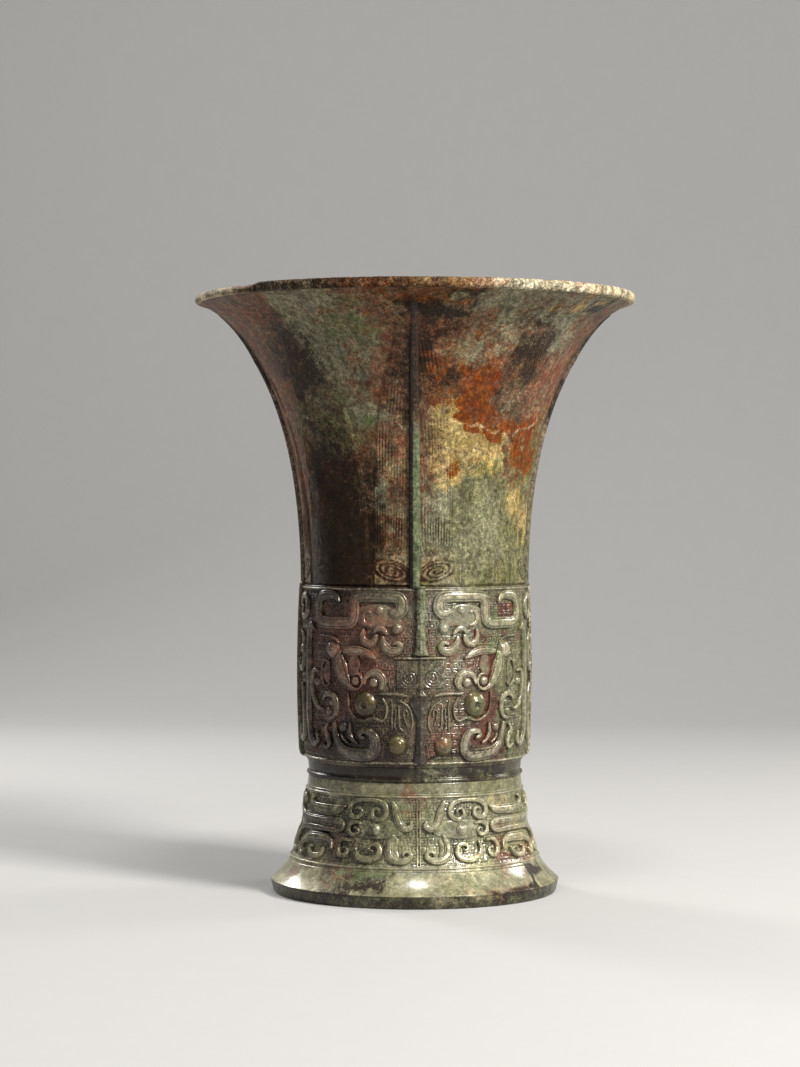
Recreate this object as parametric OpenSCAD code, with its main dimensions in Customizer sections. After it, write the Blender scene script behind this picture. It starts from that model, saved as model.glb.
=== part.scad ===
// Bronze wine vessel (zun) with a trumpet mouth, a belly frieze of an animal mask under two
// coiled dragons, and a flared foot with dragons. Millimetres, +Z up, the origin at the middle
// of the foot's underside, and the front of the vessel towards -Y.

/* [Mouth] */
// Outer radius of the lip
lip_r = 106.5; // [98:0.5:116]
// Height of the lip's upright edge
lip_h = 4; // [3:0.5:6]
// How far the lip stands out past the flared neck
lip_step = 0.9; // [0.4:0.1:2]

/* [Neck] */
// Height of the neck between belly and lip
neck_h = 137; // [120:1:155]
// Outer radius of the neck where it leaves the belly
neck_r = 53; // [49:0.5:54]
// Share of the flare that opens slowly from the bottom
flare_slow = 0.445; // [0.38:0.005:0.5]
// Share of the flare that opens in the upper half
flare_mid = 0.364; // [0.3:0.005:0.42]

/* [Belly] */
// Height of the belly frieze
belly_h = 85; // [76:1:96]
// Largest outer radius of the belly ground
belly_r = 55.2; // [54:0.2:58]
// How much narrower the belly is at its two ends
belly_bulge = 1.2; // [0.4:0.1:2]
// Turn of the belly frieze away from the neck ridges, degrees
belly_turn = 3; // [-4:0.5:6]
// Height over which the belly rounds in at its bottom
belly_round_h = 6; // [4:0.5:8]
// Depth of that rounding
belly_round_in = 1.7; // [1:0.1:2.4]

/* [Foot] */
// Height of the plain collar between belly and foot
collar_h = 7; // [5:0.5:10]
// Height of the bead around the bottom of the collar
bead_h = 2; // [1.4:0.1:3]
// How far that bead stands out
bead_out = 0.8; // [0.4:0.1:1.4]
// Height of the flared foot wall
foot_h = 51; // [44:1:60]
// Outer radius at the top of the foot
foot_top_r = 51.7; // [50:0.1:52]
// Outer radius at the bottom of the flare
foot_edge_r = 70.2; // [64:0.2:78]
// Share of the foot's flare that runs straight
foot_straight = 0.32; // [0.2:0.02:0.5]
// Height of the upright edge under the flare
foot_rim_h = 6; // [4:0.5:9]
// How much the edge draws in at its bottom
foot_rim_draft = 1.4; // [0:0.1:3]
// Turn of the foot frieze away from the neck ridges, degrees
foot_turn = 2; // [-4:0.2:6]

/* [Casting] */
// Wall thickness, measured square to the wall
wall_t = 3.4; // [2.4:0.1:4.4]
// Thickness of the floor at its edge
floor_t = 4; // [3:0.5:5]
// How far the middle of the floor is dished
floor_dish = 1.5; // [0.8:0.1:2]
// Width of the collar's ledge that carries the floor
floor_ledge = 2; // [1.5:0.1:3]
// Side of the square spacers left in the floor
spacer_w = 9; // [6:0.5:12]
// Distance of the spacers from the middle
spacer_at = 27; // [18:0.5:34]

/* [Relief] */
// Height of the main relief above the ground
relief = 1.5; // [0.9:0.1:2.2]
// Height of the fine raised lines
line_rise = 0.8; // [0.5:0.1:1.2]
// Height of the low plates that the bands of a head, a leg or a body stand on
plate_rise = 0.8; // [0.5:0.1:1.2]
// How much wider the broad bands are than the thin ones
band_extra = 0.6; // [0:0.1:0.8]
// Height of the leaf blades on the neck
leaf_rise = 0.5; // [0.3:0.1:1]
// Width of the leaf blades at their foot, degrees
leaf_span = 43; // [36:1:44]
// Height of the leaf blades
leaf_h = 131; // [112:1:132]
// Width of the upright ridges
ridge_w = 4.8; // [3.6:0.2:6.5]
// Height of the upright ridges
ridge_out = 2.2; // [1.4:0.1:3]
// Height of the mask's eye bosses
eye_out = 3.2; // [2:0.1:4]
// Radius of the mask's eye bosses
eye_r = 6.2; // [5:0.1:6.4]
// Radius of the drilled pupils
pupil_r = 1.3; // [0.8:0.1:2]
// Height of the nose ridge
nose_out = 2.6; // [1.8:0.1:3.2]

/* [Hidden] */
$fn = 96;
// Heights of the sections, from the underside of the foot
foot_z = foot_rim_h;
collar_z = foot_z + foot_h;
belly_z = collar_z + collar_h;
neck_z = belly_z + belly_h;
lip_z = neck_z + neck_h;
// Steps of the turned outlines
neck_steps = 20;
// Step at which the straight part of the neck gives way to the flare
flare_step = 11;
belly_steps = 10;
foot_steps = 12;
dish_steps = 5;
// Powers of the neck's flare, from the slow part to the quick turn under the lip
neck_powers = [2, 4, 16];
// Power of the foot's quick flare
foot_power = 4.4;
// Girth radius and height range in which the two friezes are drawn
belly_drawn_r = 56;
belly_drawn_z = 64;
belly_drawn_h = 85;
foot_drawn_r = 55;
foot_drawn_z = 6;
foot_drawn_h = 51;
// Points between two control points of a scroll, and points of its rounded ends
scroll_steps = 3;
cap_steps = 3;
// Drawn widths between which a band gains its extra width
band_thin = 1.2;
band_broad = 4.2;
// Distance that each half of a frieze stands off its middle line
belly_part = 0.8;
foot_part = 0.5;
// How far the radial cutters and prisms reach past the wall
reach = 12;
// Patina colours
brown = [0.42, 0.36, 0.29];
olive = [0.46, 0.46, 0.33];
green = [0.52, 0.58, 0.44];
red = [0.47, 0.27, 0.2];
dark = [0.25, 0.24, 0.22];
tan = [0.62, 0.55, 0.42];

// Turned outlines

function neck_slope(t) = (lip_r - lip_step - neck_r) / neck_h
  * (neck_powers[0] * flare_slow * t
  + neck_powers[1] * flare_mid * pow(t, neck_powers[1] - 1)
  + neck_powers[2] * (1 - flare_slow - flare_mid) * pow(t, neck_powers[2] - 1));

function neck_at(t) = neck_r + (lip_r - lip_step - neck_r)
  * (flare_slow * pow(t, neck_powers[0]) + flare_mid * pow(t, neck_powers[1])
  + (1 - flare_slow - flare_mid) * pow(t, neck_powers[2]));

// Neck radius at share t of its height, moved out by d square to the wall
function neck_off(t, d) = neck_at(t) + d * sqrt(1 + pow(neck_slope(t), 2));

function belly_off(u, d) = belly_r - belly_bulge * pow(2 * u - 1, 2)
  - belly_round_in * pow(max(0, 1 - u * belly_h / belly_round_h), 2) + d;

function foot_slope(t) = (foot_edge_r - foot_top_r) / foot_h
  * (foot_straight + (1 - foot_straight) * foot_power * pow(t, foot_power - 1));

function foot_at(t) = foot_top_r + (foot_edge_r - foot_top_r)
  * (foot_straight * t + (1 - foot_straight) * pow(t, foot_power));

function foot_off(t, d) = foot_at(t) + d * sqrt(1 + pow(foot_slope(t), 2));

// Neck outline from one step to another, moved out by d
function neck_part(d, from, to) = [
  for (i = [from:to]) [neck_off(i / neck_steps, d), neck_z + neck_h * i / neck_steps]
];
function neck_line(d) = neck_part(d, 0, neck_steps);
function belly_line(d) = [
  for (i = [0:belly_steps]) [belly_off(i / belly_steps, d), belly_z + belly_h * i / belly_steps]
];
function foot_line(d) = [
  for (i = [foot_steps:-1:0]) [foot_off(i / foot_steps, d), collar_z - foot_h * i / foot_steps]
];
function reversed(p) = [for (i = [len(p) - 1:-1:0]) p[i]];

// Scroll outlines: control points carry girth, height and width

function bend(a, b, c, d, t) = (2 * b + (c - a) * t + (2 * a - 5 * b + 4 * c - d) * t * t
  + (3 * b - a - 3 * c + d) * t * t * t) / 2;

function curve(p) = [
  for (i = [0:len(p) - 2])
    for (k = [0:scroll_steps - 1])
      bend(p[max(i - 1, 0)], p[i], p[i + 1], p[min(i + 2, len(p) - 1)], k / scroll_steps),
  p[len(p) - 1]
];

function flat(p) = [p[0], p[1]];

function heading(c, i) =
  let (d = flat(c[min(i + 1, len(c) - 1)]) - flat(c[max(i - 1, 0)]))
  atan2(d[1], d[0]);

function full_width(w) = w + band_extra * max(0, min(1, (w - band_thin) / (band_broad - band_thin)));

function beside(p, a) = flat(p) + full_width(p[2]) / 2 * [cos(a), sin(a)];

function scroll(p) =
  let (c = curve(p), n = len(c) - 1)
  concat(
    [for (i = [0:n]) beside(c[i], heading(c, i) + 90)],
    [for (k = [1:cap_steps]) beside(c[n], heading(c, n) + 90 - 180 * k / (cap_steps + 1))],
    [for (i = [n:-1:0]) beside(c[i], heading(c, i) - 90)],
    [for (k = [1:cap_steps]) beside(c[0], heading(c, 0) - 90 - 180 * k / (cap_steps + 1))]
  );

function mid_girth(p) = (min([for (q = p) q[0]]) + max([for (q = p) q[0]])) / 2;

// Heights of a drawn point on the real belly and foot
function belly_height(z) = belly_z + (z - belly_drawn_z) * belly_h / belly_drawn_h;
function foot_height(z) = foot_z + (z - foot_drawn_z) * foot_h / foot_drawn_h;
function foot_share(z) = 1 - (z - foot_drawn_z) / foot_drawn_h;
function belly_share(z) = (z - belly_drawn_z) / belly_drawn_h;
function girth_angle(s, r) = s / r * 180 / PI;

// Upper belly: a dragon whose body runs as a squared coil
dragon_scrolls = [
  [[12.8, 137.4, 3.2], [10.6, 136.6, 4.4], [8.6, 138, 5], [8.2, 141.2, 5], [9.6, 143.8, 4.6],
   [13, 144.6, 4.4], [20, 144.7, 4.4], [28.6, 144.6, 4.4], [31.6, 143.6, 4.4], [32.6, 141, 4.4],
   [32.6, 135.6, 4.4], [33.6, 133, 4.4], [36.6, 131.9, 4.4], [44, 131.8, 4.4], [51.6, 131.9, 4.4],
   [55.4, 133.6, 4.2], [57, 137.4, 4], [56.4, 141.8, 4], [53.6, 144.4, 4], [48, 145, 3.4],
   [43.8, 144.4, 2.8], [41.4, 142, 1.4]],
  [[17.2, 125.4, 1.6], [16.8, 122.2, 3], [14.2, 119.4, 3.6], [10.8, 119, 3.4], [8.7, 121.2, 2.6],
   [10.4, 123, 1.9], [12.4, 122.2, 1.2]],
  [[20.6, 126.2, 1.6], [21.4, 124, 2.4], [23.4, 122.4, 2.9], [26.2, 123, 2.9], [27.6, 125.6, 2.4],
   [27.2, 128.8, 1.4]],
  [[23.4, 131, 1.2], [26.4, 131.9, 1.8], [27.5, 134.8, 2], [26, 137.6, 1.8], [23.4, 137.2, 1.2]],
  [[15.2, 127.2, 1.4], [17.2, 129.2, 2.2], [20, 129.6, 2.2], [21.2, 128, 1.4]]
];
// Low plate of its head
dragon_plates = [[[11.5, 132.8, 5.4], [17, 135.2, 10], [23.5, 135.4, 11], [27, 135.4, 8.4]]];
// Its cheek and its eye: girth, height, radius and rise
dragon_bosses = [[10.5, 129.6, 2.8, 1.8], [19, 138.2, 2.4, 2]];

// Mask horns: an upper crest, and a lower arm that curls in round its boss
horn_scrolls = [
  [[21, 115.6, 1.2], [24.6, 117.6, 2.8], [29.4, 119, 3.4], [34.4, 119, 3.4], [37.6, 118.6, 2]],
  [[29.4, 112.4, 3], [25.4, 111.6, 4.6], [21, 109.2, 4.6], [18, 105.4, 3.8], [18.4, 101.8, 2.4]]
];
horn_bosses = [[22.9, 103.9, 2.5, 1.9], [31.3, 104.9, 2.6, 1.9]];

// Mask ears: a smooth blade that ends in a hook, and a looped drop
ear_scrolls = [
  [[45.8, 113.2, 1.8], [42.6, 112.2, 5.2], [40, 108.8, 5.2], [37.6, 105, 3.4], [34, 101.8, 1.8],
   [30.4, 100.9, 1], [28, 102.6, 0.9], [27.8, 105.6, 0.8]]
];
ear_lines = [
  [[41.4, 122.6, 0.9], [44.2, 124.6, 1], [48.8, 125.4, 1.1], [54.6, 125.6, 0.8]],
  [[47.8, 113.4, 0.9], [50.4, 114, 1.1], [52.7, 111.4, 1.2], [52.9, 106.6, 1.2], [51.5, 103, 1.2],
   [48.7, 101.9, 1.1], [46.9, 103.4, 0.8]]
];
ear_bosses = [[45.5, 119.1, 4.4, 2.2], [49.6, 107.6, 2.2, 1]];

// Lines round the eyes, and the brow
eyelid_lines = [
  [[35.4, 99.2, 0.9], [35.3, 94, 1.1], [33.4, 89.2, 1.2], [28, 86.3, 1.2], [22, 87.5, 1.2],
   [18, 86.2, 1.1], [15.7, 88.6, 1.1], [15.3, 93, 1.1], [17.2, 97, 0.9]],
  [[5.8, 98.1, 1], [10, 98.9, 1.5], [15.5, 99, 1.4], [19.6, 98.8, 0.9]]
];
eye_place = [26.8, 93.8];

// Jaw that curls up into a fang, an inner fang and a tooth line
jaw_scrolls = [
  [[27.2, 78, 1.4], [29.4, 79.2, 1.8], [28.4, 81, 2.1], [24.8, 81, 2.8], [21.8, 78.2, 3.8],
   [21.4, 73.6, 4.4], [23, 70.6, 4.8], [27, 70, 5], [32, 70.2, 4.8], [37.4, 71.2, 4.4],
   [41.4, 74.4, 3.6], [43.4, 79.4, 2.8], [44.2, 84.4, 1.6]],
  [[34.4, 84.6, 1.2], [34.8, 80.6, 2], [33.2, 77.4, 1.6], [30.8, 75.6, 1]],
  [[36, 75.6, 0.9], [38.4, 77.2, 1.2], [39.6, 79.4, 0.9]]
];
jaw_bosses = [[39.2, 82.6, 2.5, 1.6]];

// Hooks and little bosses behind the cheek
cheek_scrolls = [
  [[51.5, 95.4, 1.2], [49.7, 97.6, 2], [45.9, 98, 2.4], [43.1, 95.2, 2.6], [42.7, 90.8, 2.4],
   [44.3, 87.6, 2], [47.5, 86.2, 1.2]],
  [[55.4, 108.6, 1.2], [59.6, 108.8, 1.8], [61.6, 105, 2.2], [61.2, 99.4, 2.2], [59.2, 94.4, 2.2],
   [55.6, 91.4, 1.8], [52.2, 90.8, 1.2]],
  [[48.6, 83.6, 1.2], [50.5, 80.6, 2.2], [48.7, 77.6, 2.4], [48, 74.6, 2.2], [49.8, 72.4, 1.8],
   [52, 74, 1.2]]
];
cheek_bosses = [[46.5, 94, 1.6, 1.1], [48.1, 89.6, 1.9, 1.3], [58.2, 103.4, 2.2, 1.3]];

// Nostril: girth, height, radius and rise, and the lines beside the nose
nostril_bosses = [[10.4, 74.8, 4.7, 2.4]];
nostril_lines = [
  [[4.4, 81.2, 0.8], [3.1, 84, 0.9], [3.2, 88.6, 0.9], [5, 93, 0.9], [9, 95.9, 0.8]],
  [[7.6, 81.8, 0.8], [9.2, 83.6, 0.9], [9.4, 88.6, 0.9], [9.6, 93.4, 0.8]],
  [[12.8, 82.4, 0.8], [12.9, 87.4, 0.9], [12.6, 92, 0.9], [13.2, 96.2, 0.8]]
];
// Nose: half width, bottom and top, then the half width and height range of the diamond above it
nose_half = 1.9;
nose_low = 66.4;
nose_top = 90;
diamond_half = 5.6;
diamond_low = 90.6;
diamond_top = 100.6;
// Plate of the forehead and its rise
forehead_half = 11.4;
forehead_low = 101.4;
forehead_top = 114.6;

// Dragon that stands upright beside the side ridge
side_scrolls = [
  [[60, 128.6, 1.4], [63.4, 130.4, 2.6], [65.6, 126, 3.6], [66, 114, 4], [65.6, 102, 4],
   [66.4, 90, 4], [65.4, 79, 3.4], [61.4, 73.6, 2.6], [57, 75.4, 2], [57.4, 79.4, 1.3]],
  [[79.6, 139.4, 1.2], [77.6, 143.4, 2.2], [73, 144, 2.8], [69.4, 141, 3], [69.6, 136.2, 2.8],
   [73.6, 133.8, 2.4], [76.8, 136.2, 1.8], [75.6, 139, 1.2]],
  [[76.6, 127.4, 1.4], [72.6, 123, 2.6], [72, 115.6, 3], [74.6, 109.4, 2.8], [79, 109.4, 2.2],
   [79.8, 113.4, 1.4]],
  [[74.6, 101.6, 1.4], [72.6, 94.6, 2.6], [72.6, 84.6, 3], [74.4, 76.6, 3], [79, 75.2, 2.4],
   [80.6, 79.4, 1.8], [78, 81.4, 1.2]]
];
side_bosses = [[76.4, 118.4, 2.4, 1.5]];

// Foot: a dragon facing the middle, with a bottle horn, two claws and a long double body
foot_scrolls = [
  [[12, 48.2, 1.4], [10.5, 44.6, 2.8], [9.6, 40.8, 3.2], [8, 37.4, 3.2], [5.2, 35.7, 3], [2.8, 36.8, 2.2],
   [3.2, 39, 1.3]],
  [[18.3, 42.9, 1], [18.6, 44.4, 1.3], [21, 44.6, 1.5], [22, 42, 1.8], [20, 39.8, 2], [16.6, 40.2, 2.2],
   [14.8, 43.2, 2.2], [16, 46.7, 2.2], [20, 48.5, 2], [25.3, 48.7, 1.8], [30.6, 48, 2], [33.9, 45.8, 2.2],
   [34.2, 42.4, 2.2], [31.8, 40.3, 2.1], [28.7, 40.8, 2], [27.4, 43, 1.8], [28.9, 44.9, 1.4],
   [30.8, 44.4, 1.1]],
  [[27.4, 37.6, 1.2], [31, 38, 1.8], [33.7, 36.4, 2], [33.8, 33.6, 2], [31.2, 32.1, 1.8], [28.7, 33.5, 1.6],
   [29.6, 35.4, 1.2], [31.2, 35.2, 0.9]],
  [[72.8, 25.2, 1.2], [71.8, 22.8, 1.8], [75, 21.2, 2.2], [78.2, 23.6, 2.6], [77.6, 28, 2.8],
   [73, 31.8, 2.6], [66, 33.4, 2.4], [56, 33.7, 2.3], [46, 33.6, 2.2], [40.6, 33.3, 2], [37.9, 34.2, 1.8],
   [37.3, 35.8, 1.8], [38.3, 37.3, 2.2], [41.4, 37.9, 2.8], [46, 37.9, 3], [56, 37.8, 3],
   [66, 37.8, 3], [73, 38.6, 3], [78, 41.2, 3], [79.4, 45, 2.6], [76.4, 47.6, 2.2], [72.8, 46.4, 1.8],
   [73.2, 44, 1.2]],
  [[11, 32.4, 1.6], [12.8, 28, 3], [12.6, 23.8, 3.4], [9.6, 21.2, 3], [5.6, 21, 2.6], [3, 22.9, 2.2],
   [3.9, 25.1, 1.8], [6, 24.7, 1.3], [6.3, 23.4, 1]],
  [[20.6, 25.1, 1.1], [22.6, 26.1, 1.5], [21.5, 28.1, 1.9], [18.5, 27.8, 2.1], [17.2, 24.8, 2.4],
   [18.9, 21.9, 2.6], [23.6, 21.1, 2.6], [27.6, 22.5, 2.4], [29.4, 26, 2], [28.4, 29.2, 1.2]],
  [[33, 29.4, 1.2], [36.4, 29.7, 1.9], [38.7, 27.4, 2.1], [38.2, 23.8, 2.1], [35.6, 22, 2], [33.3, 23.7, 1.7],
   [34, 25.9, 1.3], [35.8, 25.8, 1]],
  [[42.4, 25, 1.2], [44.2, 28.2, 2.4], [48.6, 29.5, 3.6], [55, 29.4, 4], [62, 28.8, 3.8], [67, 26.2, 3],
   [67.6, 22.6, 2.4], [64.6, 20.8, 1.8], [62.6, 22.6, 1.1]],
  [[47.4, 24.8, 1.1], [48.6, 21.9, 2], [52.6, 20.8, 2.2], [56.8, 21.8, 2], [57.8, 24.2, 1.5], [55.6, 25, 1]],
  [[37.4, 45, 1.4], [41, 43.4, 3.2], [48, 43, 3.8], [55, 43, 3.8], [61, 43.8, 3.2], [64.2, 46.4, 2.2],
   [61.6, 48.4, 1.4]]
];
// Low plates of its head, its foreleg and its body
foot_plates = [
  [[9.5, 35.5, 6.4], [15, 35.4, 8.4], [22, 35.2, 8.9], [26, 35.4, 7.9]],
  [[10.6, 30, 3.4], [12, 26, 5.9], [10.6, 23, 4.4]],
  [[40.5, 35.8, 5.4], [52, 35.7, 6.8], [66, 35.7, 6.8], [75, 37, 6.4]]
];
foot_bosses = [[20.3, 35, 3, 2]];
// Raised lines of the foot frieze: lower and upper edges, and half width of the middle line
foot_frame_low = 17.6;
foot_frame_top = 50.4;
foot_middle_half = 1;
// Border lines of the belly frieze and the line between its two bands
belly_frame_low = 66.4;
belly_frame_top = 147.8;
belly_band_z = 115.8;
belly_band_half = 12;
frame_line_w = 1;
// Ridges on the belly: lower end of the short front and back ones, then the tall side ones
short_ridge_low = 117;
tall_ridge_low = 67.6;
belly_ridge_top = 148.8;
ridge_steps = 8;
// Spread foot of a short ridge: its extra width and the height over which that dies away
ridge_spread_w = 5;
ridge_spread_h = 2.2;
// Rounded section of a ridge: points from one edge to the other, and the power of its rounding
ridge_arc = 6;
ridge_round = 0.6;
// Share of the neck's height where the ridge has run out, the share over which it fades, and its rise there
neck_ridge_end = 0.955;
neck_ridge_fade = 0.1;
neck_ridge_tip = 0.1;
// Sharpness of the leaf tips
leaf_power = 2.7;
leaf_steps = 12;
// Gap between a leaf and the ridge that splits it
leaf_gap = 0.2;

// Node to draw, or all of them

// Helpers that seat the relief on the turned walls

// Turned shell between the wall face and a height above it
module belly_shell(rise) {
  rotate_extrude() polygon(concat(belly_line(0), reversed(belly_line(rise))));
}

module foot_shell(rise) {
  rotate_extrude() polygon(concat(foot_line(0), reversed(foot_line(rise))));
}

module neck_shell(rise) {
  rotate_extrude() polygon(concat(neck_line(0), reversed(neck_line(rise))));
}

// Solid inside the wall face, for cutting bosses to their seat
module belly_core() {
  rotate_extrude() polygon(concat(belly_line(0), [[0, neck_z], [0, belly_z]]));
}

module foot_core() {
  rotate_extrude() polygon(concat(foot_line(0), [[0, collar_z], [0, foot_z]]));
}

// Outline drawn on the unrolled belly, pushed out along the radius through its middle
module belly_prism(p) {
  m = mid_girth(p);
  rotate(girth_angle(m, belly_drawn_r)) rotate([90, 0, 0]) linear_extrude(belly_r + reach)
    polygon([for (q = p) [belly_r * sin(girth_angle(q[0] - m, belly_drawn_r)), belly_height(q[1])]]);
}

module foot_prism(p) {
  m = mid_girth(p);
  rotate(girth_angle(m, foot_drawn_r)) rotate([90, 0, 0]) linear_extrude(foot_edge_r + reach)
    polygon([for (q = p)
      [foot_at(foot_share(q[1])) * sin(girth_angle(q[0] - m, foot_drawn_r)), foot_height(q[1])]]);
}

module belly_scrolls(list, rise) {
  intersection() {
    for (p = list) belly_prism(scroll(p));
    belly_shell(rise);
  }
}

module foot_scroll_set(list, rise) {
  intersection() {
    for (p = list) foot_prism(scroll(p));
    foot_shell(rise);
  }
}

// Radius of the ball whose cap has this radius and height
function ball_r(r, h) = (r * r + h * h) / (2 * h);

// Domed boss standing on the belly: girth, height, radius, rise
module belly_boss(b) {
  ball = ball_r(b[2], b[3]);
  difference() {
    rotate(girth_angle(b[0], belly_drawn_r))
      translate([0, -belly_off(belly_share(b[1]), b[3] - ball), belly_height(b[1])]) sphere(ball);
    belly_core();
  }
}

module foot_boss(b) {
  ball = ball_r(b[2], b[3]);
  difference() {
    rotate(girth_angle(b[0], foot_drawn_r))
      translate([0, -foot_off(foot_share(b[1]), b[3] - ball), foot_height(b[1])]) sphere(ball);
    foot_core();
  }
}

// Both halves of a mask piece, on the front (0) or the back (180)
module both_halves(turn) {
  rotate(belly_turn + turn)
    for (half = [0, 1])
      mirror([half, 0, 0]) rotate(girth_angle(belly_part, belly_drawn_r)) children();
}

// One half of a frieze: 0 keeps the right one, 1 the left one, parted from the middle by an angle
module one_half(turn, half, part) {
  rotate(turn) mirror([half, 0, 0]) rotate(part) children();
}

// Rounded bar that climbs a turned wall: rows of [wall radius, height, rise, width], turned to an angle
module wall_bar(rows, turn) {
  n = ridge_arc + 1;
  last = len(rows) - 1;
  pts = [
    for (row = rows)
      for (k = [0:ridge_arc])
        let (a = 180 * k / ridge_arc, x = -row[3] / 2 * cos(a))
        [x, -sqrt(row[0] * row[0] - x * x) - row[2] * pow(sin(a), ridge_round), row[1]]
  ];
  sides = [
    for (i = [0:last - 1])
      for (k = [0:ridge_arc])
        [i * n + k, i * n + (k + 1) % n, (i + 1) * n + (k + 1) % n, (i + 1) * n + k]
  ];
  low_end = [for (k = [ridge_arc:-1:0]) k];
  high_end = [for (k = [0:ridge_arc]) last * n + k];
  rotate(turn) polyhedron(pts, concat([low_end], sides, [high_end]), convexity = 4);
}

// Casting sections

// Upright lip round the mouth
module mouth_rim() {
  color(tan) rotate_extrude() polygon([
    [neck_off(1, -wall_t), lip_z],
    [lip_r, lip_z],
    [lip_r, lip_z + lip_h],
    [neck_off(1, -wall_t) + lip_h * neck_slope(1) / 2, lip_z + lip_h]
  ]);
}

// Lower part of the trumpet-shaped neck
module neck_wall() {
  color(brown) rotate_extrude()
    polygon(concat(neck_part(-wall_t, 0, flare_step), reversed(neck_part(0, 0, flare_step))));
}

// Flare that opens to the lip
module flare_wall() {
  color(brown) rotate_extrude()
    polygon(concat(
      neck_part(-wall_t, flare_step, neck_steps),
      reversed(neck_part(0, flare_step, neck_steps))
    ));
}

// Drum of the belly, with a straight seat for the floor at its bottom
module belly_wall() {
  seat_r = belly_off(0, -wall_t) + belly_round_in / 2;
  inner = [for (q = belly_line(-wall_t)) if (q[1] > belly_z + floor_t + floor_dish) q];
  color(olive) rotate_extrude() polygon(concat(
    [[seat_r, belly_z], [seat_r, belly_z + floor_t]],
    inner,
    reversed(belly_line(0))
  ));
}

// Dished blank of the floor
module floor_blank() {
  seat_r = belly_off(0, -wall_t) + belly_round_in / 2;
  top = [
    for (i = [0:dish_steps])
      let (u = i / dish_steps)
      [seat_r * u, belly_z + floor_t - floor_dish * (1 - u * u)]
  ];
  rotate_extrude() polygon(concat([[0, belly_z]], top, [[seat_r, belly_z]]));
}

module spacer_posts() {
  for (a = [0:90:270])
    rotate(a) translate([spacer_at - spacer_w / 2, -spacer_w / 2, belly_z])
      cube([spacer_w, spacer_w, floor_t]);
}

// Floor that closes the cup
module vessel_floor() {
  color(dark) difference() {
    floor_blank();
    spacer_posts();
  }
}

// Square bronze spacers that held the core, left in the floor
module floor_spacers() {
  color(tan) intersection() {
    floor_blank();
    spacer_posts();
  }
}

// Plain collar under the belly, with a bead and an inner ledge for the floor
module collar_band() {
  ledge_r = belly_off(0, -wall_t) + belly_round_in / 2 - floor_ledge;
  top_r = belly_off(0, 0) - line_rise / 2;
  color(dark) rotate_extrude() union() {
    polygon([
      [foot_off(0, -wall_t), collar_z],
      [foot_top_r, collar_z],
      [top_r, belly_z],
      [ledge_r, belly_z]
    ]);
    intersection() {
      translate([foot_top_r + bead_out - bead_h / 2, collar_z + bead_h / 2]) circle(bead_h / 2);
      translate([foot_top_r - bead_h, collar_z]) square([2 * bead_h, bead_h]);
    }
  }
}

// Flared wall of the foot
module foot_wall() {
  color(olive) rotate_extrude() polygon(concat(foot_line(-wall_t), reversed(foot_line(0))));
}

// Upright edge under the flare
module foot_rim() {
  color(dark) rotate_extrude() polygon([
    [foot_off(1, -wall_t), 0],
    [foot_edge_r - foot_rim_draft, 0],
    [foot_edge_r, foot_z],
    [foot_off(1, -wall_t), foot_z]
  ]);
}

// Ridges

module neck_ridge(turn) {
  rows = [
    for (i = [0:neck_steps])
      let (t = neck_ridge_end * i / neck_steps)
      let (fade = min(1, (neck_ridge_end - t) / neck_ridge_fade + neck_ridge_tip))
      [neck_at(t), neck_z + neck_h * t, ridge_out * fade * sqrt(1 + pow(neck_slope(t), 2)), ridge_w]
  ];
  color(green) wall_bar(rows, turn);
}

function belly_ridge_row(z, w) = [belly_off(belly_share(z), 0), belly_height(z), ridge_out, w];

// Ridge over the mask, with a foot that spreads on to the band line
module short_ridge(turn) {
  rows = [
    for (i = [0:ridge_steps])
      let (up = (belly_ridge_top - short_ridge_low) * pow(i / ridge_steps, 2))
      belly_ridge_row(short_ridge_low + up, ridge_w + ridge_spread_w * exp(-up / ridge_spread_h))
  ];
  color(brown) wall_bar(rows, belly_turn + turn);
}

// Ridge between the side dragons, over the whole height of the belly
module tall_ridge(turn) {
  rows = [
    for (i = [0:ridge_steps])
      belly_ridge_row(tall_ridge_low + (belly_ridge_top - tall_ridge_low) * i / ridge_steps, ridge_w)
  ];
  color(brown) wall_bar(rows, belly_turn + turn);
}

// Rising leaf blade on the neck, split in two where a ridge runs up its middle
module leaf(turn, split) {
  side = [
    for (i = [0:leaf_steps])
      let (u = i / leaf_steps, t = u * leaf_h / neck_h, a = leaf_span / 2 * (1 - pow(u, leaf_power)))
      [neck_at(t) * sin(a), neck_z + leaf_h * u]
  ];
  color(brown) rotate(turn) intersection() {
    difference() {
      rotate([90, 0, 0]) linear_extrude(lip_r + reach)
        polygon(concat(side, [for (i = [leaf_steps - 1:-1:0]) [-side[i][0], side[i][1]]]));
      if (split)
        translate([-ridge_w / 2 - leaf_gap, -lip_r - 2 * reach, neck_z - reach])
          cube([ridge_w + 2 * leaf_gap, lip_r + 2 * reach, neck_h + 2 * reach]);
    }
    neck_shell(leaf_rise);
  }
}

// Belly relief

module belly_dragon(turn, half) {
  color(olive) one_half(belly_turn + turn, half, girth_angle(belly_part, belly_drawn_r)) {
    belly_scrolls(dragon_scrolls, relief);
    belly_scrolls(dragon_plates, plate_rise);
    for (b = dragon_bosses) belly_boss(b);
  }
}

module mask_horns(turn) {
  color(red) both_halves(turn) {
    belly_scrolls(horn_scrolls, relief);
    for (b = horn_bosses) belly_boss(b);
  }
}

module mask_ears(turn) {
  color(green) both_halves(turn) {
    belly_scrolls(ear_scrolls, relief);
    belly_scrolls(ear_lines, line_rise);
    for (b = ear_bosses) belly_boss(b);
  }
}

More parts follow.
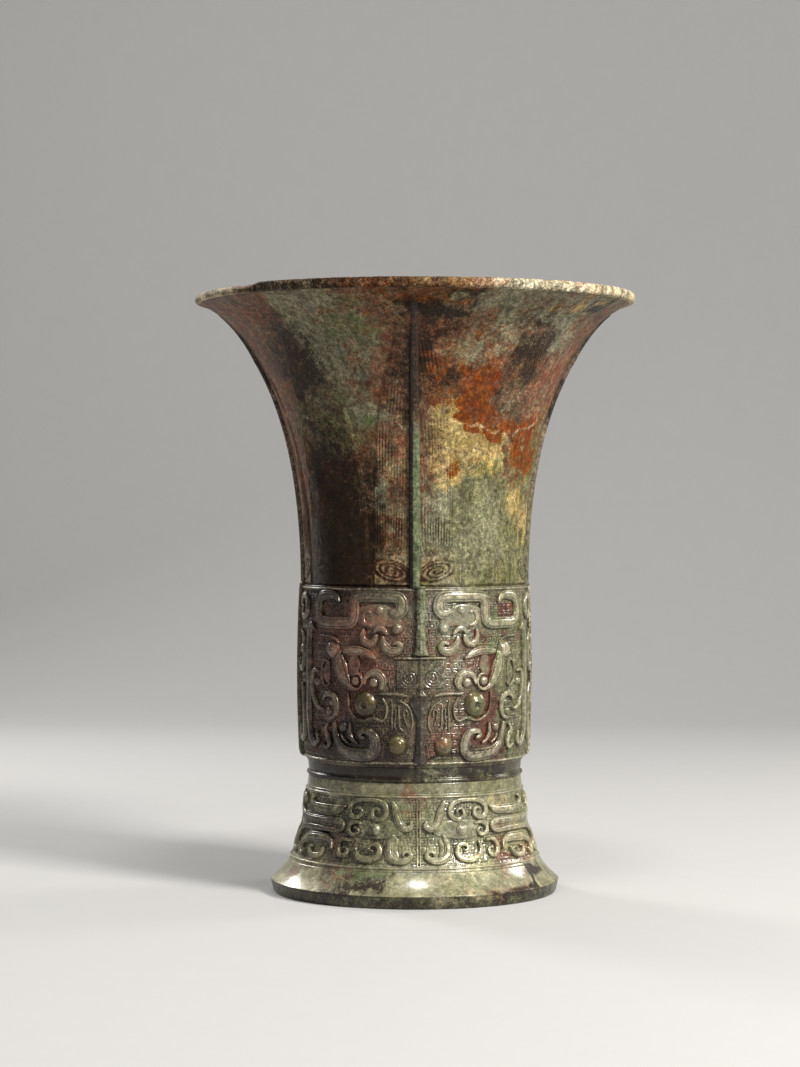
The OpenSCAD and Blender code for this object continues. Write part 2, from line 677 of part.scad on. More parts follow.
// Round eye bosses with drilled pupils
module mask_eyes(turn) {
  pupil_depth = eye_out / 3;
  color(olive) both_halves(turn) difference() {
    belly_boss([eye_place[0], eye_place[1], eye_r, eye_out]);
    rotate(girth_angle(eye_place[0], belly_drawn_r))
      translate([0, -belly_off(belly_share(eye_place[1]), eye_out - pupil_depth), belly_height(eye_place[1])])
        rotate([90, 0, 0]) cylinder(h = reach, r = pupil_r);
  }
}

module mask_eyelids(turn) {
  color(green) both_halves(turn) belly_scrolls(eyelid_lines, line_rise);
}

// Nose ridge, the diamond between the eyes and the plate of the forehead
module mask_nose(turn) {
  mid_z = (diamond_low + diamond_top) / 2;
  color(brown) rotate(belly_turn + turn) {
    intersection() {
      belly_prism([[-nose_half, nose_low], [nose_half, nose_low],
        [nose_half, nose_top], [-nose_half, nose_top]]);
      belly_shell(nose_out);
    }
    intersection() {
      belly_prism([[0, diamond_low], [diamond_half, mid_z], [0, diamond_top], [-diamond_half, mid_z]]);
      belly_shell(relief);
    }
    intersection() {
      belly_prism([[-forehead_half, forehead_low], [forehead_half, forehead_low],
        [forehead_half, forehead_top], [-forehead_half, forehead_top]]);
      belly_shell(line_rise);
    }
  }
}

module mask_nostrils(turn) {
  color(brown) both_halves(turn) {
    belly_scrolls(nostril_lines, line_rise);
    for (b = nostril_bosses) belly_boss(b);
  }
}

module mask_jaws(turn) {
  color(olive) both_halves(turn) {
    belly_scrolls(jaw_scrolls, relief);
    for (b = jaw_bosses) belly_boss(b);
  }
}

module mask_cheeks(turn) {
  color(red) both_halves(turn) {
    belly_scrolls(cheek_scrolls, relief);
    for (b = cheek_bosses) belly_boss(b);
  }
}

module side_dragon(turn, half) {
  color(brown) one_half(belly_turn + turn, half, girth_angle(belly_part, belly_drawn_r)) {
    belly_scrolls(side_scrolls, relief);
    for (b = side_bosses) belly_boss(b);
  }
}

// Raised lines above and below the frieze, and between its bands
module belly_borders() {
  color(tan) rotate(belly_turn) intersection() {
    belly_shell(line_rise);
    union() {
      for (z = [belly_frame_low, belly_frame_top])
        translate([0, 0, belly_height(z) - frame_line_w / 2])
          cylinder(h = frame_line_w, r = belly_r + reach);
      for (turn = [0, 180])
        rotate(turn) belly_prism([
          [-belly_band_half, belly_band_z - frame_line_w / 2],
          [belly_band_half, belly_band_z - frame_line_w / 2],
          [belly_band_half, belly_band_z + frame_line_w / 2],
          [-belly_band_half, belly_band_z + frame_line_w / 2]]);
    }
  }
}

// Foot relief

module foot_dragon(turn, half) {
  color(olive) one_half(foot_turn + turn, half, girth_angle(foot_part, foot_drawn_r)) {
    foot_scroll_set(foot_scrolls, relief);
    foot_scroll_set(foot_plates, plate_rise);
    for (b = foot_bosses) foot_boss(b);
  }
}

// Raised lines round the foot frieze, and the upright ones that part its dragons
module foot_borders() {
  color(tan) rotate(foot_turn) intersection() {
    foot_shell(line_rise);
    union() {
      for (z = [foot_frame_low, foot_frame_top])
        translate([0, 0, foot_height(z) - frame_line_w / 2])
          cylinder(h = frame_line_w, r = foot_edge_r + reach);
      for (turn = [0:90:270])
        rotate(turn) foot_prism([
          [-foot_middle_half, foot_frame_low], [foot_middle_half, foot_frame_low],
          [foot_middle_half, foot_frame_top], [-foot_middle_half, foot_frame_top]]);
    }
  }
}

mouth_rim();
flare_wall();
neck_wall();
belly_wall();
vessel_floor();
floor_spacers();
collar_band();
foot_wall();
foot_rim();
neck_ridge(0);  // neck_ridge_front
neck_ridge(90);  // neck_ridge_right
neck_ridge(180);  // neck_ridge_back
neck_ridge(270);  // neck_ridge_left
short_ridge(0);  // belly_ridge_front
tall_ridge(90);  // belly_ridge_right
short_ridge(180);  // belly_ridge_back
tall_ridge(270);  // belly_ridge_left
leaf(0, true);  // leaf_front
leaf(45, false);  // leaf_front_right
leaf(90, true);  // leaf_right
leaf(135, false);  // leaf_back_right
leaf(180, true);  // leaf_back
leaf(225, false);  // leaf_back_left
leaf(270, true);  // leaf_left
leaf(315, false);  // leaf_front_left
belly_dragon(0, 0);  // front_dragon_right
belly_dragon(0, 1);  // front_dragon_left
belly_dragon(180, 0);  // back_dragon_right
belly_dragon(180, 1);  // back_dragon_left
mask_horns(0);  // front_mask_horns
mask_ears(0);  // front_mask_ears
mask_eyes(0);  // front_mask_eyes
mask_eyelids(0);  // front_mask_eyelids
mask_nose(0);  // front_mask_nose
mask_nostrils(0);  // front_mask_nostrils
mask_jaws(0);  // front_mask_jaws
mask_cheeks(0);  // front_mask_cheeks
mask_horns(180);  // back_mask_horns
mask_ears(180);  // back_mask_ears
mask_eyes(180);  // back_mask_eyes
mask_eyelids(180);  // back_mask_eyelids
mask_nose(180);  // back_mask_nose
mask_nostrils(180);  // back_mask_nostrils
mask_jaws(180);  // back_mask_jaws
mask_cheeks(180);  // back_mask_cheeks
side_dragon(0, 0);  // front_side_dragon_right
side_dragon(0, 1);  // front_side_dragon_left
side_dragon(180, 0);  // back_side_dragon_right
side_dragon(180, 1);  // back_side_dragon_left
foot_dragon(0, 0);  // foot_dragon_front_right
foot_dragon(0, 1);  // foot_dragon_front_left
foot_dragon(180, 0);  // foot_dragon_back_right
foot_dragon(180, 1);  // foot_dragon_back_left
belly_borders();
foot_borders();
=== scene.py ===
# %% [markdown]
# # A bronze zun, from bare casting to old patina
# A zun is a tall wine vessel with a trumpet mouth. The bronze caster made it in one pour, in a clay
# mould of several pieces, and the relief was cut into the clay before the metal went in. The CAD model
# already has every section at its true size and every raised motif in its place, so this lesson only
# has to give them the softness of cast metal, the fine engraving and the coloured patina of a buried
# bronze.
#
# The first cell loads the CAD model. All nodes arrive in metres, standing on the foot, with the front
# of the mask towards -Y.

# %% Load the CAD frame
import math
import bpy
import numpy as np
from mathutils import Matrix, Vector


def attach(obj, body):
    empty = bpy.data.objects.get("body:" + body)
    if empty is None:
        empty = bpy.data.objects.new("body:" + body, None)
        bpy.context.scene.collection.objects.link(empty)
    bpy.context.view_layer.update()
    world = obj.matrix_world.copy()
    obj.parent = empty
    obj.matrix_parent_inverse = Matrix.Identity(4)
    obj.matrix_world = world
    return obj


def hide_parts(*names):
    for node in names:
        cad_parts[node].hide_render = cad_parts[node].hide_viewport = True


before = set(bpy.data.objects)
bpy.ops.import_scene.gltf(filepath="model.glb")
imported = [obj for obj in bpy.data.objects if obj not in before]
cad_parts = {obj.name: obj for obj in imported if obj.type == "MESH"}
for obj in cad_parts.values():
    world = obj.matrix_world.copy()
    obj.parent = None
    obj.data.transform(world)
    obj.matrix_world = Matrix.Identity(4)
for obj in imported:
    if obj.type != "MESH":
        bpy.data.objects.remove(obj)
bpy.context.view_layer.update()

# %% [markdown]
# ## The turned walls
# Seen in profile, the vessel is three curves: the neck opens slowly and then fast under the lip, the
# belly swells a little, and the foot flares. Each one is written as a short formula of the height, in
# millimetres. Everything else in this scene is placed by angle, height and lift: the angle goes round
# from the front, and the lift is measured square to the wall, so a motif stands up properly even on the
# steep part of the flare. Belly and foot are turned a few degrees against the neck.

# %% Outlines of the walls
MM = 0.001
LIP_Z, NECK_Z, BELLY_Z, COLLAR_Z, RIM_Z = 286.0, 149.0, 64.0, 57.0, 6.0
NECK_R, NECK_FLARE = 53, 52.6
BELLY_R, BELLY_SWELL, BELLY_TUCK, TUCK_H = 55.2, 1.2, 1.7, 6
FOOT_R, FOOT_FLARE = 51.7, 18.5
BELLY_TURN, FOOT_TURN = 3.0, 2.0
WALL = 3.4


def neck_radius(z):
    """Radius of the neck: three powers of the share of its height, added up."""
    t = np.clip((z - NECK_Z) / (LIP_Z - NECK_Z), 0, 1.02)
    return NECK_R + NECK_FLARE * (0.445 * t**2 + 0.364 * t**4 + 0.191 * t**16)


def belly_radius(z):
    """Radius of the belly: a flat parabola, rounded in over its lowest 6 mm."""
    u = (z - BELLY_Z) / (NECK_Z - BELLY_Z)
    tuck = np.clip(1 - (z - BELLY_Z) / TUCK_H, 0, 1)
    return BELLY_R - BELLY_SWELL * (2 * u - 1) ** 2 - BELLY_TUCK * tuck**2


def foot_radius(z):
    """Radius of the foot: a straight taper plus a power that flares at the bottom."""
    t = np.clip((COLLAR_Z - z) / (COLLAR_Z - RIM_Z), 0, 1.02)
    return FOOT_R + FOOT_FLARE * (0.32 * t + 0.68 * t**4.4)


def slope_of(radius, z):
    """Change of a wall's radius over a tenth of a millimetre of height, for each millimetre."""
    return (radius(z + 0.05) - radius(z - 0.05)) / 0.1


def points_at(r, angle, z):
    """Points from a radius, an angle in degrees from the front and a height."""
    r, a, z = np.broadcast_arrays(r, np.radians(angle), z)
    return np.stack([r * np.sin(a), -r * np.cos(a), z], axis=-1)


def on_wall(radius, angle, z, lift):
    """Points at an angle and a height, moved out by lift along the wall's normal."""
    slope = slope_of(radius, z)
    out = lift / np.sqrt(1 + slope**2)
    return points_at(radius(z) + out, angle, z - out * slope)


print("radii at lip, waist, belly, foot edge:",
      [round(float(f(h)), 1) for f, h in ((neck_radius, LIP_Z), (neck_radius, 150.0),
                                          (belly_radius, 106.0), (foot_radius, RIM_Z))])

# %% [markdown]
# ## Closed skins from rows of points
# Every piece below is a table of points: each row is a closed loop, and neighbouring rows are joined by
# quads. A *ring* also joins its last row to its first, like a doughnut, which suits the turned walls. A
# *tube* has two ends, and each end is closed with a fan of triangles, which suits scrolls, bosses and
# plates. A closed skin has a volume, and its sign tells whether the faces look outwards.

# %% Rings and tubes
def ring(rows, lift, groove=None):
    """Doughnut: rows x columns of points, joined all round in both directions."""
    ids = np.arange(rows.shape[0] * rows.shape[1]).reshape(rows.shape[:2])
    across, along = np.roll(ids, -1, axis=1), np.roll(ids, -1, axis=0)
    quads = np.stack([ids, across, np.roll(along, -1, axis=1), along], axis=-1).reshape(-1, 4)
    groove = np.zeros(rows.shape[:2]) if groove is None else groove
    return {"points": rows.reshape(-1, 3), "quads": quads, "tris": np.zeros((0, 3), int),
            "lift": lift.ravel(), "groove": groove.ravel()}


def tube(rows, lift, groove):
    """Tube: rows of closed loops, joined side by side, with a fan over each end."""
    n, m = rows.shape[:2]
    ids = np.arange(n * m).reshape(n, m)
    nxt = np.roll(ids, -1, axis=1)
    quads = np.stack([ids[:-1], nxt[:-1], nxt[1:], ids[1:]], axis=-1).reshape(-1, 4)
    low = np.stack([nxt[0], ids[0], np.full(m, n * m)], axis=-1)
    high = np.stack([ids[-1], nxt[-1], np.full(m, n * m + 1)], axis=-1)
    points, lift, groove = (np.concatenate([x.reshape(n * m, -1), x[[0, -1]].mean(axis=1).reshape(2, -1)])
                            for x in (rows, lift, groove))
    return {"points": points, "quads": quads, "tris": np.concatenate([low, high]),
            "lift": lift.ravel(), "groove": groove.ravel()}


def outward(shape):
    """Turns every face over if the signed volume of the closed skin is negative."""
    p, q, t = shape["points"], shape["quads"], shape["tris"]
    t = np.concatenate([q[:, [0, 1, 2]], q[:, [0, 2, 3]], t])
    volume = np.einsum("ij,ij->", p[t[:, 0]], np.cross(p[t[:, 1]], p[t[:, 2]])) / 6
    if volume < 0:
        shape["quads"], shape["tris"] = q[:, ::-1], shape["tris"][:, ::-1]
    return shape


def join(shapes):
    """One mesh table from several closed skins."""
    start = np.cumsum([0] + [len(s["points"]) for s in shapes])
    whole = {key: np.concatenate([s[key] for s in shapes]) for key in ("points", "lift", "groove")}
    for key in ("quads", "tris"):
        whole[key] = np.concatenate([s[key] + k for s, k in zip(shapes, start)])
    return whole


print("ring and tube are ready")

# %% [markdown]
# ## Where the patina lies
# Buried bronze grows minerals in layers: red cuprite next to the metal, green malachite over it, and
# brown, ochre or grey crusts from the soil. They lie in drifting patches. Each kind of patina is a list
# of soft oval spots (angle, height, half width in degrees, half height in millimetres, strength), read
# off the photograph for the front and scattered for the back. A second table gives the flecks of each
# kind that turn up everywhere on the foot, the belly and the neck. Spots and flecks only say *how much*
# of a kind there is at a point. The shader breaks them up later.

# %% Patches of patina
SPOTS = {
    "mauve": [[-20, 268, 26, 16, 1.0], [12, 272, 24, 12, 0.9], [-28, 250, 14, 14, 0.8],
              [36, 276, 22, 9, 0.9], [-54, 278, 22, 9, 0.6], [-80, 232, 16, 34, 0.9],
              [80, 250, 14, 20, 0.8], [60, 238, 8, 8, 0.7], [-12, 214, 8, 14, 0.5], [5, 180, 4, 24, 0.6],
              [-62, 195, 8, 12, 0.3], [-36, 136, 18, 12, 0.9], [-30, 112, 14, 12, 0.9],
              [-50, 118, 14, 22, 0.7], [-20, 124, 8, 8, 0.6], [34, 124, 10, 5, 0.7], [22, 112, 8, 6, 0.6],
              [-60, 84, 16, 14, 0.5], [66, 108, 12, 30, 0.4], [11, 75, 5, 5, 0.7], [-52, 34, 14, 12, 0.5],
              [-36, 22, 12, 7, 0.8], [40, 12, 12, 4, 0.7], [58, 24, 16, 8, 0.8], [-3, 46, 9, 7, 0.6],
              [20, 12, 10, 4, 0.4], [-60, 14, 14, 5, 0.5]],
    "lichen": [[-33, 266, 11, 16, 1.1], [-36, 246, 8, 10, 0.9], [-20, 234, 9, 7, 0.6],
               [-12, 190, 6, 9, 0.7], [27, 272, 15, 9, 0.6], [56, 268, 6, 11, 1.0], [11, 180, 7, 18, 0.7],
               [45, 283, 34, 3.5, 0.9], [17, 140, 13, 9, 0.6], [22, 131, 9, 5, 0.4], [20, 108, 8, 7, 0.5],
               [-50, 22, 18, 5, 0.4], [34, 172, 14, 16, 0.5], [14, 196, 8, 12, 0.5], [20, 54, 18, 3, 0.5],
               [30, 38, 22, 12, 0.5], [8, 13, 26, 4, 0.6], [58, 14, 20, 4, 0.5]],
    "rust": [[21, 248, 14, 18, 0.62], [27, 238, 10, 8, 0.5], [62, 214, 10, 12, 1.0], [30, 228, 13, 3, 0.9],
             [46, 225, 14, 3, 0.9], [67, 226, 9, 6, 0.6], [26, 202, 6, 3.5, 0.6], [-2, 49, 6, 7, 0.5],
             [72, 29, 10, 4, 0.5], [20, 288, 26, 4, 0.5], [-60, 186, 6, 8, 0.35]],
    "ochre": [[19, 216, 12, 14, 1.2], [34, 211, 13, 13, 1.0], [24, 197, 8, 7, 0.6], [62, 192, 9, 9, 0.6],
              [70, 176, 9, 12, 0.5], [-10, 204, 6, 9, 0.4], [56, 40, 18, 10, 0.4], [30, 54, 16, 3, 0.2],
              [24, 13, 20, 4, 0.5], [70, 24, 18, 8, 0.4], [60, 289, 34, 2.5, 0.7]],
    "olive": [[38, 184, 22, 22, 1.0], [62, 163, 26, 18, 1.0], [28, 163, 18, 13, 0.6],
              [-34, 222, 20, 11, 0.7], [76, 200, 12, 20, 0.7], [58, 110, 20, 32, 0.8],
              [74, 90, 20, 40, 0.8], [30, 94, 7, 7, 0.5], [40, 38, 40, 16, 0.6], [-20, 40, 30, 14, 0.4],
              [60, 9, 50, 6, 0.4], [36, 56, 26, 5, 0.9]],
    "dark": [[-42, 180, 20, 28, 1.1], [-44, 160, 28, 13, 0.9], [-50, 254, 10, 18, 0.5],
             [-52, 214, 16, 9, 0.3], [44, 261, 8, 13, 0.5], [48, 270, 4, 8, 0.8], [4, 278, 4, 8, 0.7],
             [0, 258, 4, 18, 0.3], [8, 257, 3, 12, 0.6], [-6, 240, 5, 10, 0.3], [14, 284, 3, 2.5, 0.9],
             [64, 284, 4, 2.5, 0.9], [-66, 110, 20, 44, 0.35], [-14, 69, 20, 6, 0.7],
             # the spot at angle -36, height 76 is dark patina and painted shade on the lower left of the
             # belly
             [20, 67, 30, 3.5, 0.7], [-24, 90, 14, 14, 0.3], [-36, 76, 22, 10, 0.6], [50, 9, 12, 3, 1.1],
             [64, 10, 7, 3, 0.9], [-46, 36, 28, 17, 0.6], [-24, 12, 18, 5, 0.6]],
    "green": [[35, 119.5, 6, 2, 0.9], [43, 110, 4, 8, 1.0], [47, 119, 4, 4, 0.5], [7, 112, 6, 3, 0.8],
              [4, 148, 3, 6, 0.6], [46, 132, 12, 3, 0.6], [15, 120, 6, 3, 0.4], [-22, 18, 20, 5, 0.4],
              [-20, 272, 7, 8, 0.35], [-17, 232, 5, 4, 0.7], [44, 208, 6, 6, 0.4]],
    "red": [[37, 111, 5, 8, 1.1], [38, 92, 6, 11, 0.9], [49, 104, 6, 9, 0.7], [28, 76, 8, 5, 0.7],
            [43, 78, 6, 6, 0.8], [35, 124, 8, 3.5, 0.6], [50, 138, 7, 3.5, 1.0], [60, 128, 8, 5, 0.5],
            [-30, 111, 8, 9, 1.1], [-25, 103, 6, 5, 0.6], [-36, 92, 8, 9, 0.5], [-46, 105, 8, 9, 0.5],
            [46, 203, 6, 3.5, 0.8], [48, 210, 5, 3, 0.6], [-45, 198, 12, 5, 0.6], [-34, 206, 9, 4, 0.5],
            [35, 283, 6, 2.5, 0.7], [58, 22, 14, 3.5, 0.4], [38, 10, 8, 2.5, 0.5], [-4, 51, 5, 3.5, 0.3]]}
FLECKS = {"mauve": (0.1, 0.2, 0.42), "lichen": (0.3, 0.36, 0.44), "rust": (0.16, 0.12, 0.24),
          "ochre": (0.18, 0.16, 0.18), "olive": (0.38, 0.30, 0.38), "dark": (0.26, 0.34, 0.34),
          "green": (0.22, 0.30, 0.24), "red": (0.20, 0.14, 0.10)}
BACK_SPOTS = 12
BACK_RANGES = ((100, 260), (0, 288), (6, 20), (6, 20), (0.5, 1.1))
rng = np.random.default_rng(11)
for spots in SPOTS.values():
    spots += np.stack([rng.uniform(low, high, BACK_SPOTS) for low, high in BACK_RANGES], axis=-1).tolist()
print("patina kinds:", ", ".join(f"{k} ({len(v)})" for k, v in SPOTS.items()))

# %% [markdown]
# A spot with a smooth outline would look painted on. *Ripple* is a gentle unevenness made of sine waves
# in random directions, with whole waves round the wall so that no seam shows. Here it pushes the
# outlines of the spots about, and later it makes the cast walls uneven and the engraving worn.

# %% Amounts of patina with wandering outlines
MEAN_R = 60
BROAD_WANDER, FINE_WANDER = 28, 8


def ripple(angle, z, seed, size, count=9):
    """Mean of sine waves about `size` mm long, in random directions on the wall."""
    waves = np.random.default_rng(seed)
    turn, phase = waves.uniform(0, np.pi, count), waves.uniform(0, 2 * np.pi, count)
    pace = 2 * np.pi / (size * waves.uniform(0.6, 1.6, count))
    around, upwards = np.round(MEAN_R * pace * np.cos(turn)), pace * np.sin(turn)
    return sum(np.sin(m * np.radians(angle) + k * z + f) for m, k, f in zip(around, upwards, phase)) / count


def amount(kind, angle, z):
    """Flecks of one kind plus its soft spots, at points given by angle and height."""
    a0, z0, wa, wz, strength = np.array(SPOTS[kind]).T[:, :, None]
    flecks = np.array(FLECKS[kind])[(z > COLLAR_Z).astype(int) + (z > NECK_Z)]
    angle = angle + 14 * ripple(angle, z, 21, BROAD_WANDER) + 6 * ripple(angle, z, 22, FINE_WANDER)
    z = z + 16 * ripple(angle, z, 23, BROAD_WANDER) + 7 * ripple(angle, z, 24, FINE_WANDER)
    away = (angle - a0 + 180) % 360 - 180
    return flecks + (strength * np.exp(-((away / wa) ** 2) - ((z - z0) / wz) ** 2)).sum(axis=0)


print("green at the front of the belly:", amount("green", np.zeros(1), np.full(1, 112.0)).round(2))

# %% [markdown]
# ## A shader group for ragged edges
# A patch of mineral never ends in a smooth line, nor does it cover like paint. The group below
# multiplies the soft amount by noise of three sizes and lets the product fade in slowly, so a patch is
# dense in its middle, thins out into grains at its edge, and shows what lies under it. It is made once
# and used by every kind of patina, each with its own grain size and seed.

# %% Group: ragged mask
FLOAT, COLOR = "NodeSocketFloat", "NodeSocketColor"


def group(name, inputs, outputs):
    """New shader group with named sockets: (name, socket type, default)."""
    tree = bpy.data.node_groups.new(name, "ShaderNodeTree")
    for label, kind, default in inputs:
        tree.interface.new_socket(name=label, in_out="INPUT", socket_type=kind).default_value = default
    for label, kind in outputs:
        tree.interface.new_socket(name=label, in_out="OUTPUT", socket_type=kind)
    return tree, tree.nodes.new("NodeGroupInput"), tree.nodes.new("NodeGroupOutput")


def add(tree, kind, links=(), **values):
    """New node with values set by attribute and its inputs linked or set: (input, socket or value)."""
    node = tree.nodes.new(kind)
    for key, value in values.items():
        setattr(node, key, value)
    for key, source in links:
        if isinstance(source, bpy.types.NodeSocket):
            tree.links.new(source, node.inputs[key])
        else:
            node.inputs[key].default_value = source
    return node


def calc(tree, operation, *values):
    """Output of a Math node, with sockets or values in the order of its inputs."""
    return add(tree, "ShaderNodeMath", enumerate(values), operation=operation).outputs[0]


ragged, gin, gout = group("ragged_mask",
                          [("Amount", FLOAT, 0.0), ("Scale", FLOAT, 100.0), ("Seed", FLOAT, 0.0)],
                          [("Mask", FLOAT)])
place = add(ragged, "ShaderNodeTexCoord").outputs["Object"]
wander = 1.0
for finer, push in ((1.0, 1.9), (5.0, 2.8), (22.0, 3.4)):
    noise = add(ragged, "ShaderNodeTexNoise",
                [("Vector", place), ("W", gin.outputs["Seed"]),
                 ("Scale", calc(ragged, "MULTIPLY", gin.outputs["Scale"], finer)),
                 ("Detail", 6.0), ("Roughness", 0.7), ("Distortion", 0.4)], noise_dimensions="4D")
    shift = calc(ragged, "MULTIPLY_ADD", noise.outputs["Fac"], push, -push / 2)
    wander = calc(ragged, "ADD", wander, shift)
edge = add(ragged, "ShaderNodeMapRange",
           [("Value", calc(ragged, "MULTIPLY", gin.outputs["Amount"], wander)),
            ("From Min", 0.28), ("From Max", 0.92), ("To Max", 0.9)], interpolation_type="SMOOTHSTEP")
ragged.links.new(edge.outputs["Result"], gout.inputs["Mask"])
print("group", ragged.name, "has", len(ragged.nodes), "nodes")

# %% [markdown]
# ## The patina group
# This group turns the amounts into a surface. It takes three colours of the bare, darkened bronze, its
# share of metal, and how strong grain and colour are. It gives the material a colour, a roughness, a
# share of metal and a height for the bump, and the material's own shader does the rest. The helpers
# come first: a stretched noise, a blend of two things, and colours as a paint program shows them.

# %% Group: patina, sockets and helpers
patina, gin, gout = group(
    "bronze_patina",
    [("Ground", COLOR, (0.1, 0.08, 0.06, 1)), ("Second", COLOR, (0.06, 0.05, 0.04, 1)),
     ("Third", COLOR, (0.12, 0.1, 0.08, 1)), ("Bare Metal", FLOAT, 0.3), ("Grain", FLOAT, 1.0),
     ("Saturation", FLOAT, 1.0)],
    [("Color", COLOR), ("Roughness", FLOAT), ("Metal", FLOAT), ("Height", FLOAT)])
place = add(patina, "ShaderNodeTexCoord").outputs["Object"]


def speckle(scale, low, high, to_low=0.0, to_high=1.0, seed=0.0, vector=place):
    """Fractal noise of the patina, stretched so that low and high noise give the two output values."""
    noise = add(patina, "ShaderNodeTexNoise",
                [("Vector", vector), ("W", seed), ("Scale", scale), ("Detail", 7.0), ("Roughness", 0.72)],
                noise_dimensions="4D")
    return add(patina, "ShaderNodeMapRange",
               [("Value", noise.outputs["Fac"]), ("From Min", low), ("From Max", high), ("To Min", to_low),
                ("To Max", to_high)]).outputs[0]


def mixed(tree, factor, a, b, data_type="RGBA"):
    """Output of a Mix node between two sockets or values."""
    first, out = {"FLOAT": (2, 0), "RGBA": (6, 2)}[data_type]
    links = [(0, factor), (first, a), (first + 1, b)]
    return add(tree, "ShaderNodeMix", links, data_type=data_type).outputs[out]


def scaled(tree, vector, factors):
    """Output of a Vector Math node that multiplies a vector or a colour by three factors."""
    return add(tree, "ShaderNodeVectorMath", [(0, vector), (1, factors)], operation="MULTIPLY").outputs[0]


def linear(r, g, b):
    """Linear colour from the 0 to 255 values a paint program shows."""
    c = np.array([r, g, b]) / 255
    return (*np.where(c < 0.04045, c / 12.92, ((c + 0.055) / 1.055) ** 2.4), 1.0)


print("group", patina.name, "takes", ", ".join(socket.name for socket in gin.outputs if socket.name))

# %% [markdown]
# The kinds of patina are stacked over the bare bronze from the oldest to the newest. Each has two
# colours that a fine noise blends, the scale of its ragged edge, a roughness, and a share of metal:
# crusts are dull minerals, while worn bosses still shine. An attribute of the mesh says how much of
# each kind there is.

# %% Group: patina, the kinds
KINDS = [("mauve", (150, 106, 88), (92, 61, 50), 60, 0.48, 0.10),
         ("olive", (130, 131, 100), (84, 85, 62), 50, 0.42, 0.15),
         ("lichen", (154, 153, 134), (98, 98, 84), 80, 0.58, 0.0),
         ("ochre", (188, 172, 134), (132, 118, 88), 65, 0.52, 0.05),
         ("rust", (140, 86, 42), (88, 54, 28), 60, 0.50, 0.05),
         ("green", (122, 134, 96), (82, 95, 67), 100, 0.44, 0.10),
         ("red", (112, 68, 54), (72, 44, 35), 110, 0.52, 0.0),
         ("dark", (58, 44, 31), (29, 22, 15), 60, 0.36, 0.2),
         # worn is rubbed bronze on high places, and also serves as a painted highlight on lit tops and lines
         ("worn", (196, 189, 166), (140, 131, 108), 120, 0.26, 0.55),
         # the next kind: soil in the grooves, partly painted shade there, and painted shade along the foot
         # of every raised band
         ("earth_and_shade", (40, 30, 21), (24, 18, 13), 200, 0.80, 0.0),
         ("crust", (222, 213, 190), (170, 158, 134), 140, 0.70, 0.0)]
SEED_STEP = 3.1
spread = speckle(420.0, 0.32, 0.68)
color = mixed(patina, speckle(45.0, 0.36, 0.64, seed=1.0), gin.outputs["Ground"], gin.outputs["Second"])
color = mixed(patina, speckle(110.0, 0.44, 0.70, seed=2.0), color, gin.outputs["Third"])
rough, metal, height = 0.40, gin.outputs["Bare Metal"], spread
for seed, (kind, light, deep, grain, kind_rough, kind_metal) in enumerate(KINDS):
    level = add(patina, "ShaderNodeAttribute", attribute_name=kind).outputs["Fac"]
    mask = add(patina, "ShaderNodeGroup", [("Amount", level), ("Scale", grain), ("Seed", SEED_STEP * seed)],
               node_tree=ragged).outputs["Mask"]
    color = mixed(patina, mask, color, mixed(patina, spread, linear(*light), linear(*deep)))
    rough = mixed(patina, mask, rough, kind_rough, "FLOAT")
    metal = mixed(patina, mask, metal, kind_metal, "FLOAT")
print("stacked:", ", ".join(kind[0] for kind in KINDS))

# %% [markdown]
# Up close every patch is speckled. Three noises from coarse to fine vary the tone, the coarsest drawn
# out upwards. Two more vary the hue and the saturation, and a few dark pits and pale grains are laid on
# top. Last, a power of the colour, scaled to leave the middle tone alone, gives it more contrast.

# %% Group: patina, grain and contrast
TONES = ((190.0, 0.5, 1.45, 7.0, scaled(patina, place, (1.0, 1.0, 0.4))), (480.0, 0.45, 1.6, 8.0, place),
         (1100.0, 0.5, 1.5, 10.0, place))
DOTS = ((330.0, 0.58, (28, 22, 16), 0.7), (170.0, 0.61, (150, 142, 112), 0.3),
        (120.0, 0.63, (36, 26, 18), 0.6))
DOT_EDGE = 0.07
CONTRAST, MIDDLE_TONE = 1.32, 0.16
tone = 1.0
for size, low, high, seed, vector in TONES:
    tone = calc(patina, "MULTIPLY", tone, speckle(size, 0.34, 0.66, low, high, seed, vector))
tone = mixed(patina, gin.outputs["Grain"], 1.0, tone, "FLOAT")
vivid = calc(patina, "MULTIPLY", gin.outputs["Saturation"], speckle(130.0, 0.3, 0.7, 0.8, 1.15, 6.0))
color = add(patina, "ShaderNodeHueSaturation",
            [("Hue", speckle(70.0, 0.3, 0.7, 0.485, 0.515, 5.0)), ("Saturation", vivid), ("Value", tone),
             ("Color", color)]).outputs[0]
for size, low, tint, share in DOTS:
    dot = speckle(size, low, low + DOT_EDGE, 0.0, share, size)
    dot = calc(patina, "MULTIPLY", gin.outputs["Grain"], dot)
    color = mixed(patina, dot, color, linear(*tint))
    height = calc(patina, "MULTIPLY_ADD", dot, 0.9 - 2 * share, height)
rough = calc(patina, "MULTIPLY", rough, speckle(300.0, 0.3, 0.7, 0.8, 1.25, 9.0))
color = add(patina, "ShaderNodeGamma", [("Color", color), ("Gamma", CONTRAST)]).outputs[0]
color = scaled(patina, color, [MIDDLE_TONE ** (1 - CONTRAST)] * 3)
for label, source in (("Color", color), ("Roughness", rough), ("Metal", metal), ("Height", height)):
    patina.links.new(source, gout.inputs[label])
print("group", patina.name, "has", len(patina.nodes), "nodes")

# %% [markdown]
# ## Materials
# The sections of the vessel differ only in the bare bronze under the patina and in how well the surface
# is polished, so one function makes all the materials from the same group. A thin coat stands for the
# wax and the handling that give an old bronze its soft highlights.

